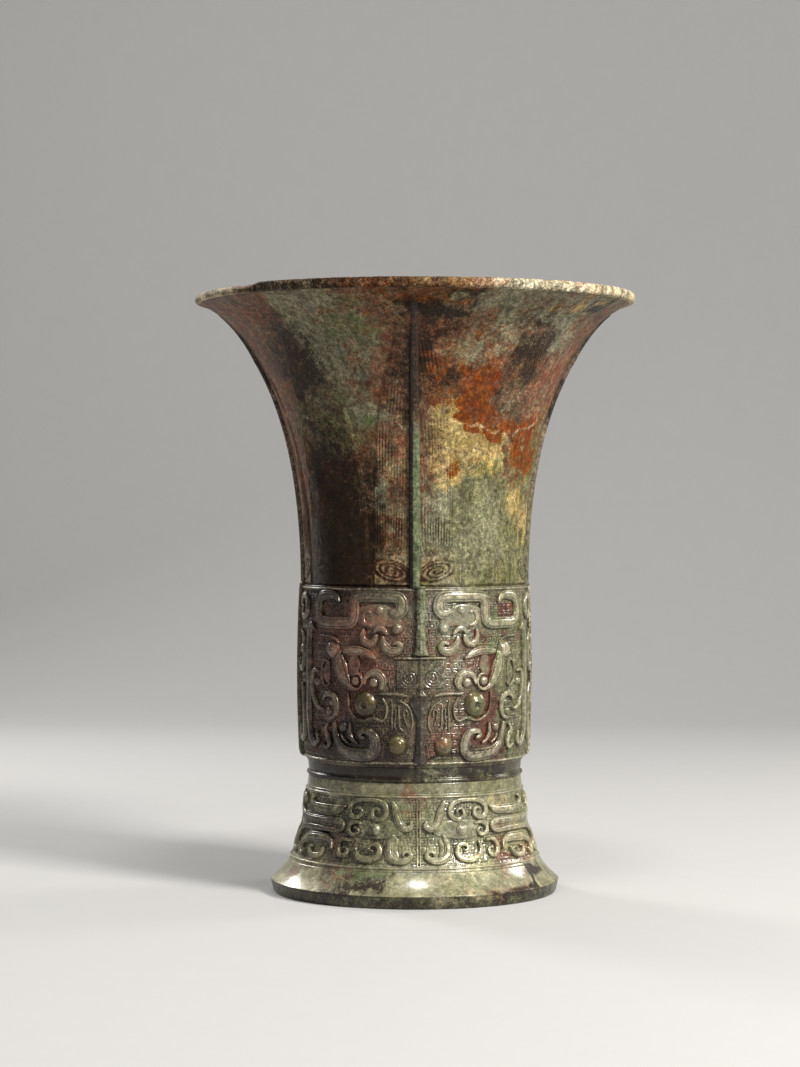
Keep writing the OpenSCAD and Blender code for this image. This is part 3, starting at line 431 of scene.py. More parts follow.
# %% Materials from the patina group
BUMP_DEPTH = 0.0006
FINISHES = {  # three colours of bare bronze, share of metal, coat, bump, grain, saturation
    "lip": ((124, 98, 72), (84, 62, 44), (160, 140, 108), 0.1, 0.0, 0.9, 1.0, 1.0),
    "neck": ((110, 76, 59), (60, 41, 31), (144, 113, 98), 0.2, 0.12, 0.9, 0.75, 1.18),
    "leaf": ((106, 74, 57), (56, 39, 29), (134, 106, 88), 0.2, 0.12, 0.9, 0.75, 1.18),
    "ridge": ((106, 91, 65), (72, 58, 42), (130, 124, 94), 0.25, 0.2, 0.6, 0.8, 0.8),
    # the raised motifs (mask) are lighter than the belly ground: partly polish, partly painted light on the
    # tops and painted shade on the ground
    "belly": ((112, 100, 83), (68, 59, 48), (100, 82, 66), 0.35, 0.28, 0.4, 0.6, 0.9),
    "mask": ((140, 130, 108), (92, 82, 66), (126, 118, 96), 0.55, 0.55, 0.3, 0.4, 0.95),
    "eye": ((100, 88, 58), (66, 57, 37), (112, 102, 70), 0.6, 0.4, 0.2, 0.3, 1.0),
    "dark": ((44, 39, 31), (26, 23, 18), (62, 56, 42), 0.3, 0.35, 0.25, 0.5, 1.0),
    "foot": ((152, 149, 122), (104, 100, 79), (168, 164, 138), 0.4, 0.5, 0.25, 0.4, 0.95),
    "inner": ((66, 58, 46), (44, 39, 32), (82, 72, 56), 0.2, 0.0, 0.6, 1.0, 1.0)}


def bronze(name, ground, second, third, metal, coat, bump, grain, vivid):
    """Bronze material: patina group into a Principled shader, with a bump from the group's height."""
    material = bpy.data.materials.new(name)
    material.use_nodes = True
    tree = material.node_tree
    shader = tree.nodes["Principled BSDF"]
    layer = add(tree, "ShaderNodeGroup",
                [("Ground", linear(*ground)), ("Second", linear(*second)), ("Third", linear(*third)),
                 ("Bare Metal", metal), ("Grain", grain), ("Saturation", vivid)], node_tree=patina).outputs
    relief = add(tree, "ShaderNodeBump",
                 [("Height", layer["Height"]), ("Strength", bump), ("Distance", BUMP_DEPTH)])
    for target, source in (("Base Color", layer["Color"]), ("Roughness", layer["Roughness"]),
                           ("Metallic", layer["Metal"]), ("Normal", relief.outputs["Normal"])):
        tree.links.new(source, shader.inputs[target])
    shader.inputs["Specular IOR Level"].default_value = 0.05
    shader.inputs["Coat Weight"].default_value = coat
    shader.inputs["Coat Roughness"].default_value = 0.17
    shader.inputs["Coat IOR"].default_value = 1.9
    return material


MAT = {name: bronze(f"{name}_patina", *values) for name, values in FINISHES.items()}
print("materials:", ", ".join(m.name for m in MAT.values()))

# %% [markdown]
# ## From a table of points to a piece
# One function turns a finished table into a Blender mesh and ties it to the CAD model: it hides the CAD
# nodes that the piece stands for, and gives every vertex its amounts of patina. Three kinds follow the
# relief as well: high places of the friezes are worn pale, and paler on the lit side as a painted
# highlight; the recesses keep the red cuprite; and earth fills the grooves, partly as painted shade, and
# lies along the foot of every raised band as painted shade.

# %% Make a piece
BELLY_FRIEZE, FOOT_FRIEZE = (66, 148), (16, 51)
totals = {"pieces": 0, "triangles": 0}


def step(x, start, soft):
    """Smooth step from 0 to 1: half at the start, nearly done after three times the softness."""
    return 1 / (1 + np.exp(-(x - start) / soft))


def even(value):
    """The same change of a kind of patina at every point."""
    return lambda angle, z, lift: value


def patina_levels(angle, z, lift, groove, extra):
    """Amount of each kind of patina at the points of a piece, with the changes that the piece asks for."""
    levels = {kind: amount(kind, angle, z) for kind in SPOTS}
    on_frieze = np.any([(z > low) & (z < high) for low, high in (BELLY_FRIEZE, FOOT_FRIEZE)], axis=0)
    # painted highlight: high places of the friezes are worn pale, and paler still on the right, lit side
    lit_side_highlight = 0.7 + 0.5 * step(angle, 5, 10)
    levels["worn"] = np.where(on_frieze, lit_side_highlight * np.clip((lift - 0.7) / 1.6, 0, 0.5), 0)
    # soil in the grooves, partly painted shade there, and painted shade along the foot of the raised bands
    levels["earth_and_shade"] = 0.85 * groove
    levels["red"] = levels["red"] * np.where(on_frieze, np.clip(1.2 - 0.5 * lift, 0.4, 1.2), 1)
    for kind, change in extra.items():
        levels[kind] = levels.get(kind, 0) + change(angle, z, lift)
    return levels


def make_piece(name, shapes, nodes, material, extra=None, smooth=None):
    """Mesh object from closed skins, riding on the vessel and standing for CAD nodes."""
    shape = join([outward(s) for s in shapes])
    p, quads, tris = shape["points"], shape["quads"], shape["tris"]
    mesh = bpy.data.meshes.new(name)
    mesh.vertices.add(len(p))
    mesh.vertices.foreach_set("co", (p * MM).astype(np.float32).ravel())
    corners = np.concatenate([quads.ravel(), tris.ravel()]).astype(np.int32)
    mesh.loops.add(len(corners))
    mesh.loops.foreach_set("vertex_index", corners)
    starts = np.concatenate([np.arange(len(quads)) * 4, len(quads) * 4 + np.arange(len(tris)) * 3])
    mesh.polygons.add(len(starts))
    mesh.polygons.foreach_set("loop_start", starts.astype(np.int32))
    mesh.polygons.foreach_set("use_smooth", np.ones(len(starts), bool) if smooth is None else smooth)
    mesh.update(calc_edges=True)
    angle = np.degrees(np.arctan2(p[:, 0], -p[:, 1]))
    levels = patina_levels(angle, p[:, 2], shape["lift"], shape["groove"], extra or {})
    for kind, values in levels.items():
        layer = mesh.attributes.new(kind, "FLOAT", "POINT")
        layer.data.foreach_set("value", np.broadcast_to(values, len(p)).astype(np.float32))
    mesh.materials.append(MAT[material])
    piece = bpy.data.objects.new(name, mesh)
    bpy.context.scene.collection.objects.link(piece)
    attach(piece, "root")
    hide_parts(*nodes)
    totals["pieces"] += 1
    totals["triangles"] += 2 * len(quads) + len(tris)


print("pieces so far:", totals["pieces"])

# %% [markdown]
# ## The plain walls: neck, flare, collar and foot edge
# A turned wall is a ring: its outer face goes up, its inner face comes down. The outer face follows the
# formula of the wall plus a little unevenness, because cast bronze that was in the ground for three
# thousand years is never a perfect turned shape. The inner face needs only a few rows. A pale, broken
# line goes round the neck where the earth once stood.

# %% Turned walls
TIDE_Z = 227


def turned(radius, z_low, z_high, rows, columns, relief, inner_rows=14, inner=None):
    """Ring with a fine outer face, wall radius plus relief, and a coarse inner face one wall in."""
    angle = np.linspace(-180, 180, columns, endpoint=False)[None, :]
    up = np.linspace(z_low, z_high, rows)[:, None]
    lift, groove = (np.broadcast_to(x, (rows, columns)) for x in relief(angle, up))
    outer = points_at(radius(up) + lift, angle, up)
    down = np.linspace(z_high, z_low, inner_rows)[:, None]
    r = inner(down) if inner else radius(down) - WALL * np.sqrt(1 + slope_of(radius, down) ** 2)
    back = points_at(r, angle, down)
    none = np.zeros((inner_rows, columns))
    shape = ring(np.concatenate([outer, back]), np.concatenate([lift, none]), np.concatenate([groove, none]))
    row_of_face = np.repeat(np.arange(rows + inner_rows), columns)
    return shape, (row_of_face != rows - 1) & (row_of_face != rows + inner_rows - 1)


def uneven(angle, z):
    """Gentle swells of the cast wall, and no groove."""
    return 0.22 * ripple(angle, z, 3, 34) + 0.05 * ripple(angle, z, 4, 6), 0.0


def bell(distance, width=0.35):
    """Smooth bump: the power of e to minus the square of distance over width, so 1 in the middle."""
    return np.exp(-((distance / width) ** 2))


def tide(angle, z, lift):
    """Ragged line round the neck where the soil once stood: a narrow bell round a wandering height."""
    broken = np.clip(0.7 + 2 * ripple(angle, 0 * z, 19, 25), 0.2, 1)
    tilt = -0.05 * angle * (np.abs(angle) < 90)
    middle = TIDE_Z + tilt + 9 * ripple(angle, 0 * z, 18, 40) + 3 * ripple(angle, 0 * z, 17, 9)
    return 0.56 * broken * bell(z - middle, 1.4)


shape, smooth = turned(neck_radius, NECK_Z, LIP_Z, 130, 420, uneven)
make_piece("neck_body", [shape], ["neck_wall", "flare_wall"], "neck", {"crust": tide}, smooth)
print(totals)

# %% [markdown]
# The collar is a plain dark band with a bead at its foot, and the vessel's foot ends in an upright
# edge. Both are rings too, with the bead and a groove added as smooth bumps of the height.

# %% Collar and foot edge
COLLAR_H = BELLY_Z - COLLAR_Z
COLLAR_IN, EDGE_IN = 48.28, 64.9


def collar_radius(z):
    """Plain band that draws in from belly to foot."""
    return FOOT_R + 0.2 * (z - COLLAR_Z) / COLLAR_H


def collar_inside(z):
    """Inner radius of the collar, a straight taper."""
    return COLLAR_IN - 0.53 * (z - COLLAR_Z) / COLLAR_H


def collar_relief(angle, z):
    """Half-round bead round the bottom of the collar and a shallow groove above it."""
    bead = 0.85 * np.sqrt(np.clip(1 - ((z - 58.0) / 1.0) ** 2, 0, 1))
    return bead - 0.25 * bell(z - 60.0, 0.7) + 0.08 * ripple(angle, z, 5, 20), 0.0


def edge_radius(z):
    """Foot edge: draws in towards the ground, with softened corners."""
    return 68.8 + 1.4 * z / RIM_Z - 0.5 * np.clip(1 - z / 1.2, 0, 1) ** 2


def edge_inside(z):
    """Inner radius of the foot edge, the same at every height."""
    return EDGE_IN + 0 * z


def edge_relief(angle, z):
    """Small dents of the foot edge, and no groove."""
    return 0.18 * ripple(angle, z, 6, 18) + 0.08 * ripple(angle, z, 7, 4), 0.0


shape, smooth = turned(collar_radius, COLLAR_Z, BELLY_Z, 40, 480, collar_relief, 6, collar_inside)
# extra dark on the collar: its dark patina, deepened as painted shade
make_piece("collar_ring", [shape], ["collar_band"], "dark", {"dark": even(0.3)}, smooth)
shape, smooth = turned(edge_radius, 0.0, RIM_Z, 22, 480, edge_relief, 5, edge_inside)
# extra dark on the foot edge: dark patina, deepened as painted shade
make_piece("foot_edge", [shape], ["foot_rim"], "dark",
           {"dark": even(0.25), "olive": even(0.15)}, smooth)
print(totals)

# %% [markdown]
# ## The lip
# The lip is the part that suffered most. On the right it carries a pale crust, and on the left a
# stretch of it is eaten away by about a millimetre and rough. The ring's section is a rounded
# rectangle, and two formulas of the angle lower and roughen the damaged stretch.

# %% Lip
def ramp(x, start, length):
    """Straight rise from 0 at the start to 1 after a length; a negative length turns it round."""
    return np.clip((x - start) / length, 0, 1)


def lip_crust(angle, z, lift):
    """Pale crust: thin all round, thick over the right side and on the eaten stretch."""
    return 0.15 + 0.42 * step(angle, 12, 5) * step(-angle, -135, 10) + 0.6 * bell(angle + 68, 22)


def lip_rust(angle, z, lift):
    """Rust left of the front."""
    return 0.4 * bell(angle + 12, 22)


def lip_dark(angle, z, lift):
    """Dark stretch left of the front, with plain ends."""
    return 0.3 * (np.abs(angle + 20) < 28)


angle = np.linspace(-180, 180, 1000, endpoint=False)[None, :]
section = np.array([[104.9, 285.2], [106.0, 285.3], [106.7, 285.8], [106.9, 286.8], [106.9, 288.6],
                    [106.7, 289.5], [106.0, 290.0], [104.6, 290.1], [103.4, 289.9], [102.6, 289.2],
                    [101.0, 287.6], [99.0, 286.3], [98.0, 285.9]])
lip_r, lip_z = section[:, :1], section[:, 1:]
eaten = step(angle, -88, 3) * step(-angle, 44, 0.7)
top_share = ramp(lip_z, 286.5, 3)
bumps = 0.6 * ripple(angle, lip_r * 3, 8, 6) + 0.7 * ripple(angle, lip_z * 5, 9, 2.4)
bumps = (0.12 + 0.5 * eaten) * bumps
r = lip_r + bumps - 0.5 * eaten * top_share
z = lip_z + top_share * (bumps - 1.25 * eaten - 0.25 * np.abs(ripple(angle, 0.0, 10, 30)))
rows = points_at(r, angle, z)
make_piece("lip_ring", [ring(rows, np.zeros(rows.shape[:2]))], ["mouth_rim"], "lip",
           {"crust": lip_crust, "rust": lip_rust, "dark": lip_dark})
print(totals)

# %% [markdown]
# ## Scrolls
# The raised bands of the dragons and the mask are all drawn the same way: a few control points with
# girth, height and width. A smooth curve runs through the points, and a section is carried along it.
# The section is a softly rounded band, and wide bands have two engraved lines beside their edges. The
# ends are rounded, and the lower edge is sunk a little into the wall, so no gap shows.

# %% Scrolls along a path
ACROSS = np.sin(np.linspace(-1, 1, 21) * np.pi / 2)
CAP = np.array([0.4, 0.7, 0.88, 0.97])
SUNK = -0.45
LINE_AT, LINE_WIDTH = 0.56, 0.1
BELLY_GIRTH, FOOT_GIRTH = 56.0, 55.0


def smooth_path(control, step=0.7):
    """Catmull-Rom curve through rows of girth, height and width, cut into steps of equal length."""
    c = np.asarray(control, float)
    p = np.vstack([c[:1], c, c[-1:]])
    a, b, c, d = (p[k:len(p) - 3 + k, None] for k in range(4))
    t = np.linspace(0, 1, 12, endpoint=False)[None, :, None]
    curve = (2 * b + (c - a) * t + (2 * a - 5 * b + 4 * c - d) * t**2 + (3 * b - a - 3 * c + d) * t**3) / 2
    curve = np.vstack([curve.reshape(-1, 3), p[-1:]])
    run = np.concatenate([[0], np.cumsum(np.linalg.norm(np.diff(curve[:, :2], axis=0), axis=1))])
    cut = np.linspace(0, run[-1], max(8, int(run[-1] / step)))
    return np.stack([np.interp(cut, run, curve[:, k]) for k in range(3)], axis=-1)


def scroll(control, rise, radius, girth, turn=0.0, half=1, line=0.45, square=4.6, wider=0.0):
    """Raised band along a path on a wall. girth(z) turns millimetres along the wall into an angle."""
    path = smooth_path(control)
    centre, width = path[:, :2], path[:, 2] / 2 + wider * np.clip(path[:, 2] / 3 - 0.4, 0, 1)
    heading = np.gradient(centre, axis=0)
    heading /= np.linalg.norm(heading, axis=1)[:, None]
    low = centre[0] - heading[0] * width[0] * CAP[::-1, None]
    high = centre[-1] + heading[-1] * width[-1] * CAP[:, None]
    centre = np.vstack([low, centre, high])
    heading = np.vstack([np.repeat(heading[:1], len(CAP), 0), heading, np.repeat(heading[-1:], len(CAP), 0)])
    round_off = np.sqrt(1 - CAP**2)
    tip = np.concatenate([round_off[::-1], np.ones(len(width)), round_off])
    width = tip * np.pad(width, len(CAP), "edge")
    side = np.stack([-heading[:, 1], heading[:, 0]], axis=-1)
    across = np.concatenate([[-1], ACROSS, [1]])
    s, z = ((centre[:, k:k + 1] + side[:, k:k + 1] * width[:, None] * across) for k in (0, 1))
    band = np.sqrt(np.clip(1 - np.abs(across) ** square, 0, 1))
    tall = rise(centre[:, 1]) if callable(rise) else np.full(len(width), rise)
    deep = np.clip(1.5 * width - 1.9, 0, 1)[:, None] * tip[:, None]
    lines = bell(np.abs(across) - LINE_AT, LINE_WIDTH) * deep
    lift = (tall * tip)[:, None] * band - line * lines
    lift[:, [0, -1]] = SUNK
    # the second term is painted shade along the foot of the band; the first puts soil in the engraved lines
    groove = 0.9 * lines * (line > 0) + 0.5 * (np.abs(across) > 0.97)
    return tube(on_wall(radius, turn + half * np.degrees(s / girth(z)), z, lift), lift, groove)


def belly_girth(z):
    """Radius that turns millimetres along the belly into an angle, the same at every height."""
    return BELLY_GIRTH


def foot_girth(z):
    """Radius that turns millimetres along the foot into an angle, the same at every height."""
    return FOOT_GIRTH


print("a scroll has", len(ACROSS) + 2, "points across")

# %% [markdown]
# ## Bosses
# Eyes, nostrils and the little knobs are domes: part of a ball that stands on the wall. The big eyes
# have a drilled pupil, and the nostrils a ring. A dome is a tube whose loops shrink towards the top.

# %% Domes
def boss(place, radius, girth, turn=0.0, half=1, pupil=None, groove=0.0, loops=16, columns=44):
    """Dome at (girth, height) with its radius and rise: the cap of a ball, with a pupil or a ring cut in."""
    s0, z0, r, rise = place
    ball = (r * r + rise * rise) / (2 * rise)
    share = np.concatenate([[1.0], np.cos(np.linspace(0, 1, loops) * np.pi / 2) * 0.98 + 0.02])[:, None]
    round_angle = np.linspace(0, 2 * np.pi, columns, endpoint=False)[None, :]
    s, z = s0 + r * share * np.cos(round_angle), z0 + r * share * np.sin(round_angle)
    lift = np.sqrt(ball**2 - (r * share) ** 2) - (ball - rise) + 0 * round_angle
    lift -= groove * bell(share - 0.55, 0.09)
    sunk = 0 * lift
    if pupil:
        off = np.hypot(s - s0 - pupil[0], z - z0 - pupil[1]) / pupil[2]
        sunk = np.clip(1 - off**4, 0, 1)
        lift -= pupil[3] * sunk - 0.12 * bell(off - 1.25, 0.2)
    lift[0] = -0.6
    return tube(on_wall(radius, turn + half * np.degrees(s / girth(z0)), z, lift), lift, sunk)


print("points of a small dome:", len(boss([0, 100, 2.5, 1.5], belly_radius, belly_girth)["points"]))

# %% [markdown]
# ## Plates
# Leaves, the nose and the forehead are thin plates with their own engraving. A plate is a grid of angle
# and height with any relief on it. Its rim is pulled down into the wall, and a few points behind it
# close it.

# %% Plates
DEEP = -0.8


def plate(angle, z, lift, radius, groove=0.0, back=9):
    """Closed plate from grids of angle, height and lift; the edges are sunk into the wall."""
    angle, z, lift, groove = (np.array(x) for x in np.broadcast_arrays(angle, z, lift, groove))
    lift[[0, -1]] = SUNK
    lift[:, [0, -1]] = SUNK
    behind = np.linspace(angle.shape[1] - 1, 0, back).astype(int)
    deep = np.full((len(angle), back), DEEP)
    face, hidden = on_wall(radius, angle, z, lift), on_wall(radius, angle[:, behind], z[:, behind], deep)
    return tube(np.concatenate([face, hidden], axis=1), np.concatenate([lift, deep], axis=1),
                np.concatenate([groove, 0 * deep], axis=1))


def near(s, z, control):
    """Distance of grid points from a smooth path, for engraved lines."""
    path = smooth_path(control, 1.0)
    return np.sqrt(np.min((s[..., None] - path[:, 0]) ** 2 + (z[..., None] - path[:, 1]) ** 2, axis=-1))


print("plates are ready")

# %% [markdown]
# ## Leaves on the neck
# Eight long leaves rise from the belly to just under the lip. A leaf is a plate that narrows to a tip,
# with more rows near its foot, where the engraving is finest. Girth along the leaf is counted in
# millimetres on the mean radius of the neck. *Rim* is 1 on the blade and falls to 0 at its edge, and
# *worn_away* fades the engraving.

# %% Grid of a leaf
LEAF_HALF, LEAF_H, LEAF_GAP = 21.5, 131, 0.6
RIM_SOFT = 1.6
up = np.linspace(0, 1, 130)[:, None] ** 1.4
half_width = LEAF_HALF * (1 - up**2.7) + 0.15
blade = np.linspace(-1, 1, 151)[None, :]
leaf_z = NECK_Z + LEAF_GAP + LEAF_H * up + 0 * blade
leaf_s = half_width * blade * np.pi / 180 * MEAN_R
rim = np.clip((1 - np.abs(blade)) * half_width / RIM_SOFT, 0, 1) * ramp(up, 0, 0.006)
worn_away = np.clip(0.45 + 1.8 * ripple(leaf_s, leaf_z, 12, 15), 0.0, 1)
waver = 0.35 * ripple(leaf_s, leaf_z, 25, 14)
print("leaf grid:", leaf_z.shape, "from", round(leaf_z.min(), 1), "to", round(leaf_z.max(), 1), "mm")

# %% [markdown]
# Four leaves are split by a ridge. Each of their halves has nested hairlines that run up from a rounded
# bend, over a leaning oval spiral. A spiral is hairlines again, of the distance from a middle minus a
# share of the turn round it.

# %% Engraving of the split leaves
HAIR_PITCH, CURL_PITCH = 1.45, 0.36
RIDGE_HALF = 2.6


def hairlines(distance, pitch):
    """Parallel grooves at a fixed pitch from a distance field."""
    return 0.5 + 0.5 * np.cos(2 * np.pi * distance / pitch)


middle = (RIDGE_HALF + half_width * np.pi / 180 * MEAN_R) / 2
bend = np.hypot(np.abs(leaf_s) - middle, np.minimum(leaf_z - 170, 0))
nested = hairlines(bend + waver, HAIR_PITCH) * ramp(leaf_z, 163, 1.5) * ramp(leaf_z, 279, -20)
over = (np.abs(leaf_s) - 12) / 9.2
rise = (leaf_z - 156.4 - 1.9 * over) / 4.4
oval = np.hypot(over, rise)
wound = oval - CURL_PITCH * np.arctan2(rise, over) / (2 * np.pi)
curl = hairlines(wound, CURL_PITCH) * ramp(oval, 1.1, -0.1)
hair_depth = 0.26 * worn_away + 0.2 * ramp(leaf_z, 192, -15)
ridge_cuts = hair_depth * nested + 0.42 * curl + 0.35 * bell(oval - 1.12, 0.1)
print("deepest cut:", round(float(ridge_cuts.max()), 2), "mm")

# %% [markdown]
# The four leaves between them carry a small cicada in thin lines, and hairlines that follow the edges.
# The cicada is drawn as half of an insect, and each line is used again on the other side.

# %% Engraving of the cicada leaves
MM_PER_DEGREE = 1.047
EDGE_PITCH = 1.5
CICADA = [[[-13, 170, 1], [-7, 165.6, 1], [-1.5, 164.4, 1], [0, 161, 1]],
          [[-4.5, 177, 1], [-2, 171.5, 1], [-5.5, 168.5, 1], [-10, 172.5, 1]],
          [[-14, 158.6, 1], [-8, 160, 1], [-3, 157.4, 1], [-7, 154.6, 1], [-12, 155.6, 1]],
          [[0, 152.5, 1], [0, 158, 1], [0, 163.5, 1]]]
drawn = np.max([bell(near(half * leaf_s, leaf_z, line)) for line in CICADA for half in (1, -1)], axis=0)
from_edge = (1 - np.abs(blade)) * half_width * MM_PER_DEGREE
follow = hairlines(from_edge + waver, EDGE_PITCH) * ramp(leaf_z, 178, 8) * ramp(leaf_z, 277, -20)
edge_cuts = 0.22 * worn_away * follow
print("cicada lines:", len(CICADA))

# %% [markdown]
# The blades stand half a millimetre off the neck. Their upper half is darker in patches, the
# lines of the cicadas hold a pale crust, and the spirals of the split leaves are rubbed bright, partly as a
# painted highlight.

# %% Leaf blades
LEAVES = ("front", "front_right", "right", "back_right", "back", "back_left", "left", "front_left")


def dark_tip(angle, z, lift):
    """Darker upper half of a leaf, in uneven patches."""
    share = np.where(np.abs(angle) < 22, 0.25, 0.55)
    return share * np.clip((z - 226) / 50, 0, 0.5) * np.clip(0.8 + 1.8 * ripple(angle, z, 31, 10), 0.0, 1.3)


def pale_lines(angle, z, lift):
    """Pale crust in the lines of the cicada, and the tide line above it."""
    return tide(angle, z, lift) + 0.5 * (angle > 0) * (lift < 0.3) * (lift > -0.1) * (z > 151.5) * (z < 178)


def rubbed_spiral_highlight(angle, z, lift):
    """Bright high places at the foot of a split leaf: rubbed bronze, and partly a painted highlight."""
    return 0.5 * (lift > 0.3) * ramp(z, 176, -14)


for k, name in enumerate(LEAVES):
    if k % 2:
        cuts, earth_and_shade, kinds = 0.40 * drawn + edge_cuts, edge_cuts, {"crust": pale_lines}
    else:
        cuts, earth_and_shade, kinds = ridge_cuts, ridge_cuts, {"crust": tide, "worn": rubbed_spiral_highlight}
    lift = 0.5 * rim - cuts * rim + 0.06 * ripple(leaf_s + 90 * k, leaf_z, 13, 18)
    shape = plate(45 * k + half_width * blade, leaf_z, lift, neck_radius, 2.0 * rim * earth_and_shade)
    make_piece(f"blade_{name}", [shape], [f"leaf_{name}"], "leaf",
               {"dark": dark_tip, **kinds})
print(totals)

# %% [markdown]
# ## Ridges
# The upright ridges sit on the joints of the mould. They are scrolls that climb straight up. The neck
# ridges fade out under the lip. The front ridge goes on over the dragons and spreads where it meets the
# mask.

# %% Ridges
NECK_RISE, BELLY_RISE = 2.6, 2.2
SPREAD_Z, SPREAD_TOP = 116.6, 149.6
NECK_RIDGE = [[0, 149.6, 5.4], [0, 175, 5.4], [0, 205, 5.2], [0, 235, 5.0], [0, 258, 4.6], [0, 270, 4.0],
              [0, 279, 2.6]]
TALL_RIDGE = [[0, 68, 5.0], [0, 90, 5.0], [0, 120, 5.0], [0, 148.4, 4.8]]


def fading(z):
    """Rise of a neck ridge: full height, running out over the last 22 mm."""
    return NECK_RISE * np.clip((280.5 - z) / 22, 0.08, 1) ** 0.7


def ridge_green(angle, z, lift):
    """Green of the front ridge: on the middle of the neck, and less on the belly."""
    return 0.9 * (np.abs(angle) < 20) * (np.exp(-(((z - 184) / 38) ** 6)) + 0.7 * (z < NECK_Z))


def ridge_rust(angle, z, lift):
    """Rust on the upper part of the front ridge."""
    return 0.7 * ramp(z, 224, 8) * (np.abs(angle) < 20)


def ridge_dark_and_shade(angle, z, lift):
    """Dark top of every ridge, and painted shade on the left face of the front one."""
    # painted shade: the left half of the front ridge, on the side away from the key light
    shaded_left_face = np.abs(angle + 10) < 9.4 + 3.6 * (z < NECK_Z)
    return 0.4 * ramp(z, 222, 16) + np.where(z > NECK_Z, 0.8, 0.45) * shaded_left_face


ridge_z, side = np.broadcast_arrays(np.linspace(SPREAD_Z, SPREAD_TOP, 60)[:, None],
                                    np.linspace(-1, 1, 25)[None, :])
spread_half = 2.5 + 2.6 * np.exp(-(ridge_z - SPREAD_Z) / 2.2)
crown = BELLY_RISE * np.sqrt(1 - np.abs(side) ** 3)
ridge_kinds = {"green": ridge_green, "rust": ridge_rust, "dark": ridge_dark_and_shade}
for k, name in enumerate(("front", "right", "back", "left")):
    shape = scroll(NECK_RIDGE, fading, neck_radius, neck_radius, 90 * k, line=0.0, square=3)
    make_piece(f"ridge_neck_{name}", [shape], [f"neck_ridge_{name}"], "ridge", ridge_kinds)
    turn = BELLY_TURN + 90 * k
    if k % 2:
        shape = scroll(TALL_RIDGE, BELLY_RISE, belly_radius, belly_girth, turn, square=3)
    else:
        shape = plate(turn + np.degrees(spread_half * side / BELLY_GIRTH), ridge_z, crown, belly_radius)
    make_piece(f"ridge_belly_{name}", [shape], [f"belly_ridge_{name}"], "ridge", ridge_kinds)
print(totals)

# %% [markdown]
# ## The ground of the friezes
# Between the motifs the ground is filled with *leiwen*, thunder pattern: rows of small squared spirals.
# A squared spiral is easy to write as a formula: in each tile, the distance from the middle is measured
# with the larger of the two coordinates, and a share of a turn is taken off. The belly is cut into four
# rings, so that each mesh stays small.

# %% Leiwen ground
BELLY_RINGS = (("lower", 64.0, 85.0, 64), ("middle", 85.0, 106.0, 64), ("upper", 106.0, 127.0, 64),
               ("top", 127.0, 149.0, 67))
FLOOR_Z, FLOOR_R = 70.0, 49.75
LEIWEN_DEPTH, LEIWEN_TURNS = 0.45, 1.5
BELLY_TILE, FOOT_TILE = 3.8, 4.0


def leiwen(s, z, tile):
    """Depth from 0 to 1 of squared spirals, one to a tile, every other one mirrored."""
    col, row = np.floor(s / tile), np.floor(z / tile)
    x, y = 2 * (s / tile - col) - 1, 2 * (z / tile - row) - 1
    x = np.where((col + row) % 2 > 0, -x, x)
    phase = LEIWEN_TURNS * np.maximum(np.abs(x), np.abs(y)) - np.arctan2(y, x) / (2 * np.pi)
    return 0.5 + 0.5 * np.cos(2 * np.pi * phase)


def belly_ground(angle, z):
    """Leiwen between the border lines of the belly, worn unevenly."""
    inside = ramp(z, 67, 0.6) * ramp(z, 147.2, -0.6)
    worn = np.clip(0.85 + 0.6 * ripple(angle, z, 14, 22), 0.4, 1)
    s = np.radians((angle - BELLY_TURN + 90) % 180 - 90) * BELLY_GIRTH
    deep = inside * worn * leiwen(s, z, BELLY_TILE)
    # the recesses of the spirals take soil, partly as painted shade
    return 0.1 * ripple(angle, z, 15, 30) - LEIWEN_DEPTH * deep, 0.8 * deep


def belly_inside(z):
    """Inner radius of the belly: one wall in, and straight round the floor."""
    return np.where(z > FLOOR_Z, belly_radius(np.maximum(z, FLOOR_Z)) - WALL, FLOOR_R)


for name, z_low, z_high, rows in BELLY_RINGS:
    shape, smooth = turned(belly_radius, z_low, z_high, rows, 1020, belly_ground, 5, belly_inside)
    make_piece(f"belly_ground_{name}", [shape], ["belly_wall"], "belly",
               {"mauve": even(0.2)}, smooth)
print(totals)

# %% [markdown]
# The foot has the same ground in a band between two lines. Above and below the band the wall is plain,
# so those two rings need far fewer points.

# %% The foot's ground
FOOT_RINGS = (("flare", 6.0, 16.0, 36, 480), ("frieze", 16.0, 52.0, 86, 900), ("top", 52.0, 57.0, 10, 480))


def foot_ground(angle, z):
    """Leiwen between the border lines of the foot frieze."""
    inside = ramp(z, 18.4, 0.6) * ramp(z, 49.8, -0.6)
    worn = np.clip(0.75 + 0.7 * ripple(angle, z, 16, 18), 0.25, 1)
    s = np.radians((angle - FOOT_TURN + 45) % 90 - 45) * FOOT_GIRTH
    deep = inside * worn * leiwen(s, z, FOOT_TILE)
    # the recesses of the spirals take soil, partly as painted shade
    return 0.1 * ripple(angle, z, 17, 26) - LEIWEN_DEPTH * deep, deep


for name, z_low, z_high, rows, columns in FOOT_RINGS:
    shape, smooth = turned(foot_radius, z_low, z_high, rows, columns, foot_ground, 7)
    make_piece(f"foot_{name}", [shape], ["foot_wall"], "foot", smooth=smooth)
print(totals)

# %% [markdown]
# ## Border lines
# Thin raised lines frame the friezes. The round ones are rings with a half-round section, and the short
# ones between the bands and the upright ones of the foot are narrow scrolls. All of them are rubbed
# bright, and their pale colour is partly a painted highlight.

# %% Border lines
FACES = (("front", 0), ("back", 180))
BETWEEN = [[-12, 115.8, 1.0], [0, 115.8, 1.2], [12, 115.8, 1.0]]


